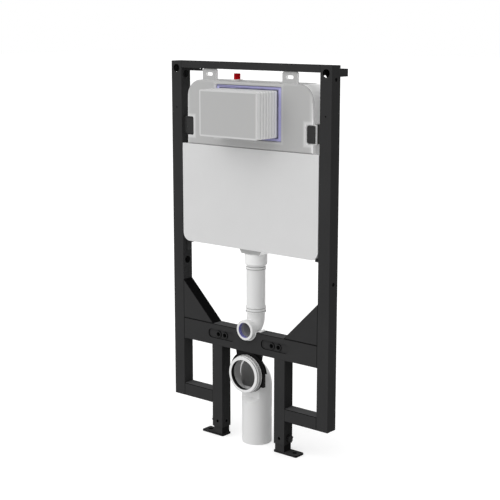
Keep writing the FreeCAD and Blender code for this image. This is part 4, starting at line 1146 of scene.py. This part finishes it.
class FRAME_OT_pipes(bpy.types.Operator):
    """Dresses the flush pipe, the waste bend and its clamp"""

    bl_idname = "toilet_frame.pipes"
    bl_label = "Pipes"

    def execute(self, context):
        for node, look in PIPES.items():
            piece = dress(node, "moulded", PIPE_SOFT, look=look)
            if node == "waste_bend":
                # Painted light: a paler, glowing copy of the pipe plastic on the ledge.
                recoat(piece, EXTRAS["lit_socket_ledge"], on_ledge)
            if node in ("waste_bend", "waste_ring"):
                # Painted shade on the faces inside the waste bore.
                recoat(piece, EXTRAS["pipe_bore_shade"], faces_line(WASTE_BEND))
            if node == "flush_bend":
                # Painted shade on the faces inside the flush bend.
                recoat(piece, EXTRAS["pipe_bore_shade"], faces_line(FLUSH_BEND))
            if node == "flush_ring":
                recoat(piece, FINISHES["blue_rubber"][0], faces_line(FLUSH_BEND))
        return {"FINISHED"}


# Stage


def seen_rays(tree):
    """One for rays that see the background: camera, glossy and transmission rays."""
    rays = tree.nodes.new("ShaderNodeLightPath")
    seen = rays.outputs["Is Camera Ray"]
    for kind in ("Is Glossy Ray", "Is Transmission Ray"):
        either = add_node(tree, "ShaderNodeMath", operation="MAXIMUM")
        tree.links.new(seen, either.inputs[0])
        tree.links.new(rays.outputs[kind], either.inputs[1])
        seen = either.outputs["Value"]
    return seen


def make_floor():
    """A pale floor that looks white and keeps the soft shadow of the frame."""
    deselect_all()
    bpy.ops.mesh.primitive_plane_add(size=FLOOR_SIDE, location=(MIDDLE, 0.0, -FLOOR_DROP))
    floor = bpy.context.object
    floor.name = "floor"
    made = Finish("floor")
    made.colour(made.tint(made.noise(*FLOOR_CLOUDS), FLOOR_COLOUR, 0.995, 1.005))
    made.shader.inputs["Roughness"].default_value = 1.0
    made.shine(0.0)
    glow = made.add("ShaderNodeEmission")
    both = made.add("ShaderNodeAddShader")
    bright = made.maths("MULTIPLY", seen_rays(made.tree), FLOOR_GLOW)
    made.link(bright, glow.inputs["Strength"])
    made.link(made.shader.outputs["BSDF"], both.inputs[0])
    made.link(glow.outputs["Emission"], both.inputs[1])
    made.link(both.outputs["Shader"], made.tree.nodes["Material Output"].inputs["Surface"])
    floor.data.materials.append(made.material)


def make_light(stage):
    """A soft dome that is brightest at the upper left front, and one wide lamp."""
    world = bpy.data.worlds.new("studio")
    bpy.context.scene.world = world
    world.use_nodes = True
    tree = world.node_tree
    background = tree.nodes["Background"]
    background.inputs["Color"].default_value = (1.0, 1.0, 1.0, 1.0)
    way = add_node(tree, "ShaderNodeTexCoord")
    lean = add_node(tree, "ShaderNodeVectorMath", operation="DOT_PRODUCT")
    lean.inputs[1].default_value = tuple(stage.lean)
    dome = add_node(tree, "ShaderNodeMath", operation="ADD")
    dome.inputs[1].default_value = stage.fill
    lit = add_node(tree, "ShaderNodeMath", operation="MAXIMUM")
    lit.inputs[1].default_value = 0.0
    pick = add_node(tree, "ShaderNodeMapRange")
    pick.inputs["To Max"].default_value = 1.0
    for start, end in (
            (way.outputs["Generated"], lean.inputs[0]),
            (lean.outputs["Value"], dome.inputs[0]),
            (dome.outputs["Value"], lit.inputs[0]),
            (lit.outputs["Value"], pick.inputs["To Min"]),
            (seen_rays(tree), pick.inputs["Value"]),
            (pick.outputs["Result"], background.inputs["Strength"])):
        tree.links.new(start, end)
    lamp = bpy.data.lights.new("key", "SUN")
    lamp.energy = stage.key
    lamp.angle = math.radians(KEY_SPREAD)
    key = bpy.data.objects.new("key", lamp)
    key.rotation_euler = Vector(KEY_AIM).to_track_quat("-Z", "Y").to_euler()
    bpy.context.scene.collection.objects.link(key)


def make_camera(stage):
    """A camera where the photograph was taken from."""
    lens = bpy.data.cameras.new("camera")
    lens.lens = stage.lens
    lens.sensor_width = SENSOR_WIDTH
    camera = bpy.data.objects.new("camera", lens)
    camera.location = CAMERA_PLACE
    camera.rotation_euler = Vector(CAMERA_AIM).to_track_quat("-Z", "Y").to_euler()
    bpy.context.scene.collection.objects.link(camera)
    bpy.context.scene.camera = camera


class FRAME_OT_stage(bpy.types.Operator):
    """Sets the floor, the light and the camera"""

    bl_idname = "toilet_frame.stage"
    bl_label = "Stage"

    def execute(self, context):
        _, _, stage = settings()
        make_floor()
        make_light(stage)
        make_camera(stage)
        context.scene.view_settings.view_transform = "Standard"
        return {"FINISHED"}


# Add-on

STEPS = (FRAME_OT_materials, FRAME_OT_steelwork, FRAME_OT_feet, FRAME_OT_cistern,
         FRAME_OT_pipes, FRAME_OT_stage)


class FRAME_PT_sidebar(bpy.types.Panel):
    """Lists the steps that dress the frame"""

    bl_idname = "FRAME_PT_sidebar"
    bl_label = "Toilet frame"
    bl_space_type = "VIEW_3D"
    bl_region_type = "UI"
    bl_category = "Toilet frame"

    def draw(self, context):
        for group in settings():
            box = self.layout.box()
            for key in group.__annotations__:
                box.prop(group, key)
        for step in STEPS:
            self.layout.operator(step.bl_idname)


CLASSES = (SteelSettings, PlasticSettings, StageSettings) + STEPS + (FRAME_PT_sidebar,)


def register():
    for item in CLASSES:
        bpy.utils.register_class(item)
    bpy.types.Scene.frame_steel = bpy.props.PointerProperty(type=SteelSettings)
    bpy.types.Scene.frame_plastic = bpy.props.PointerProperty(type=PlasticSettings)
    bpy.types.Scene.frame_stage = bpy.props.PointerProperty(type=StageSettings)


def unregister():
    del bpy.types.Scene.frame_stage
    del bpy.types.Scene.frame_plastic
    del bpy.types.Scene.frame_steel
    for item in reversed(CLASSES):
        bpy.utils.unregister_class(item)


def main():
    register()
    bpy.ops.toilet_frame.materials()
    bpy.ops.toilet_frame.steelwork()
    bpy.ops.toilet_frame.feet()
    bpy.ops.toilet_frame.cistern()
    bpy.ops.toilet_frame.pipes()
    bpy.ops.toilet_frame.stage()


if __name__ == "__main__":
    main()
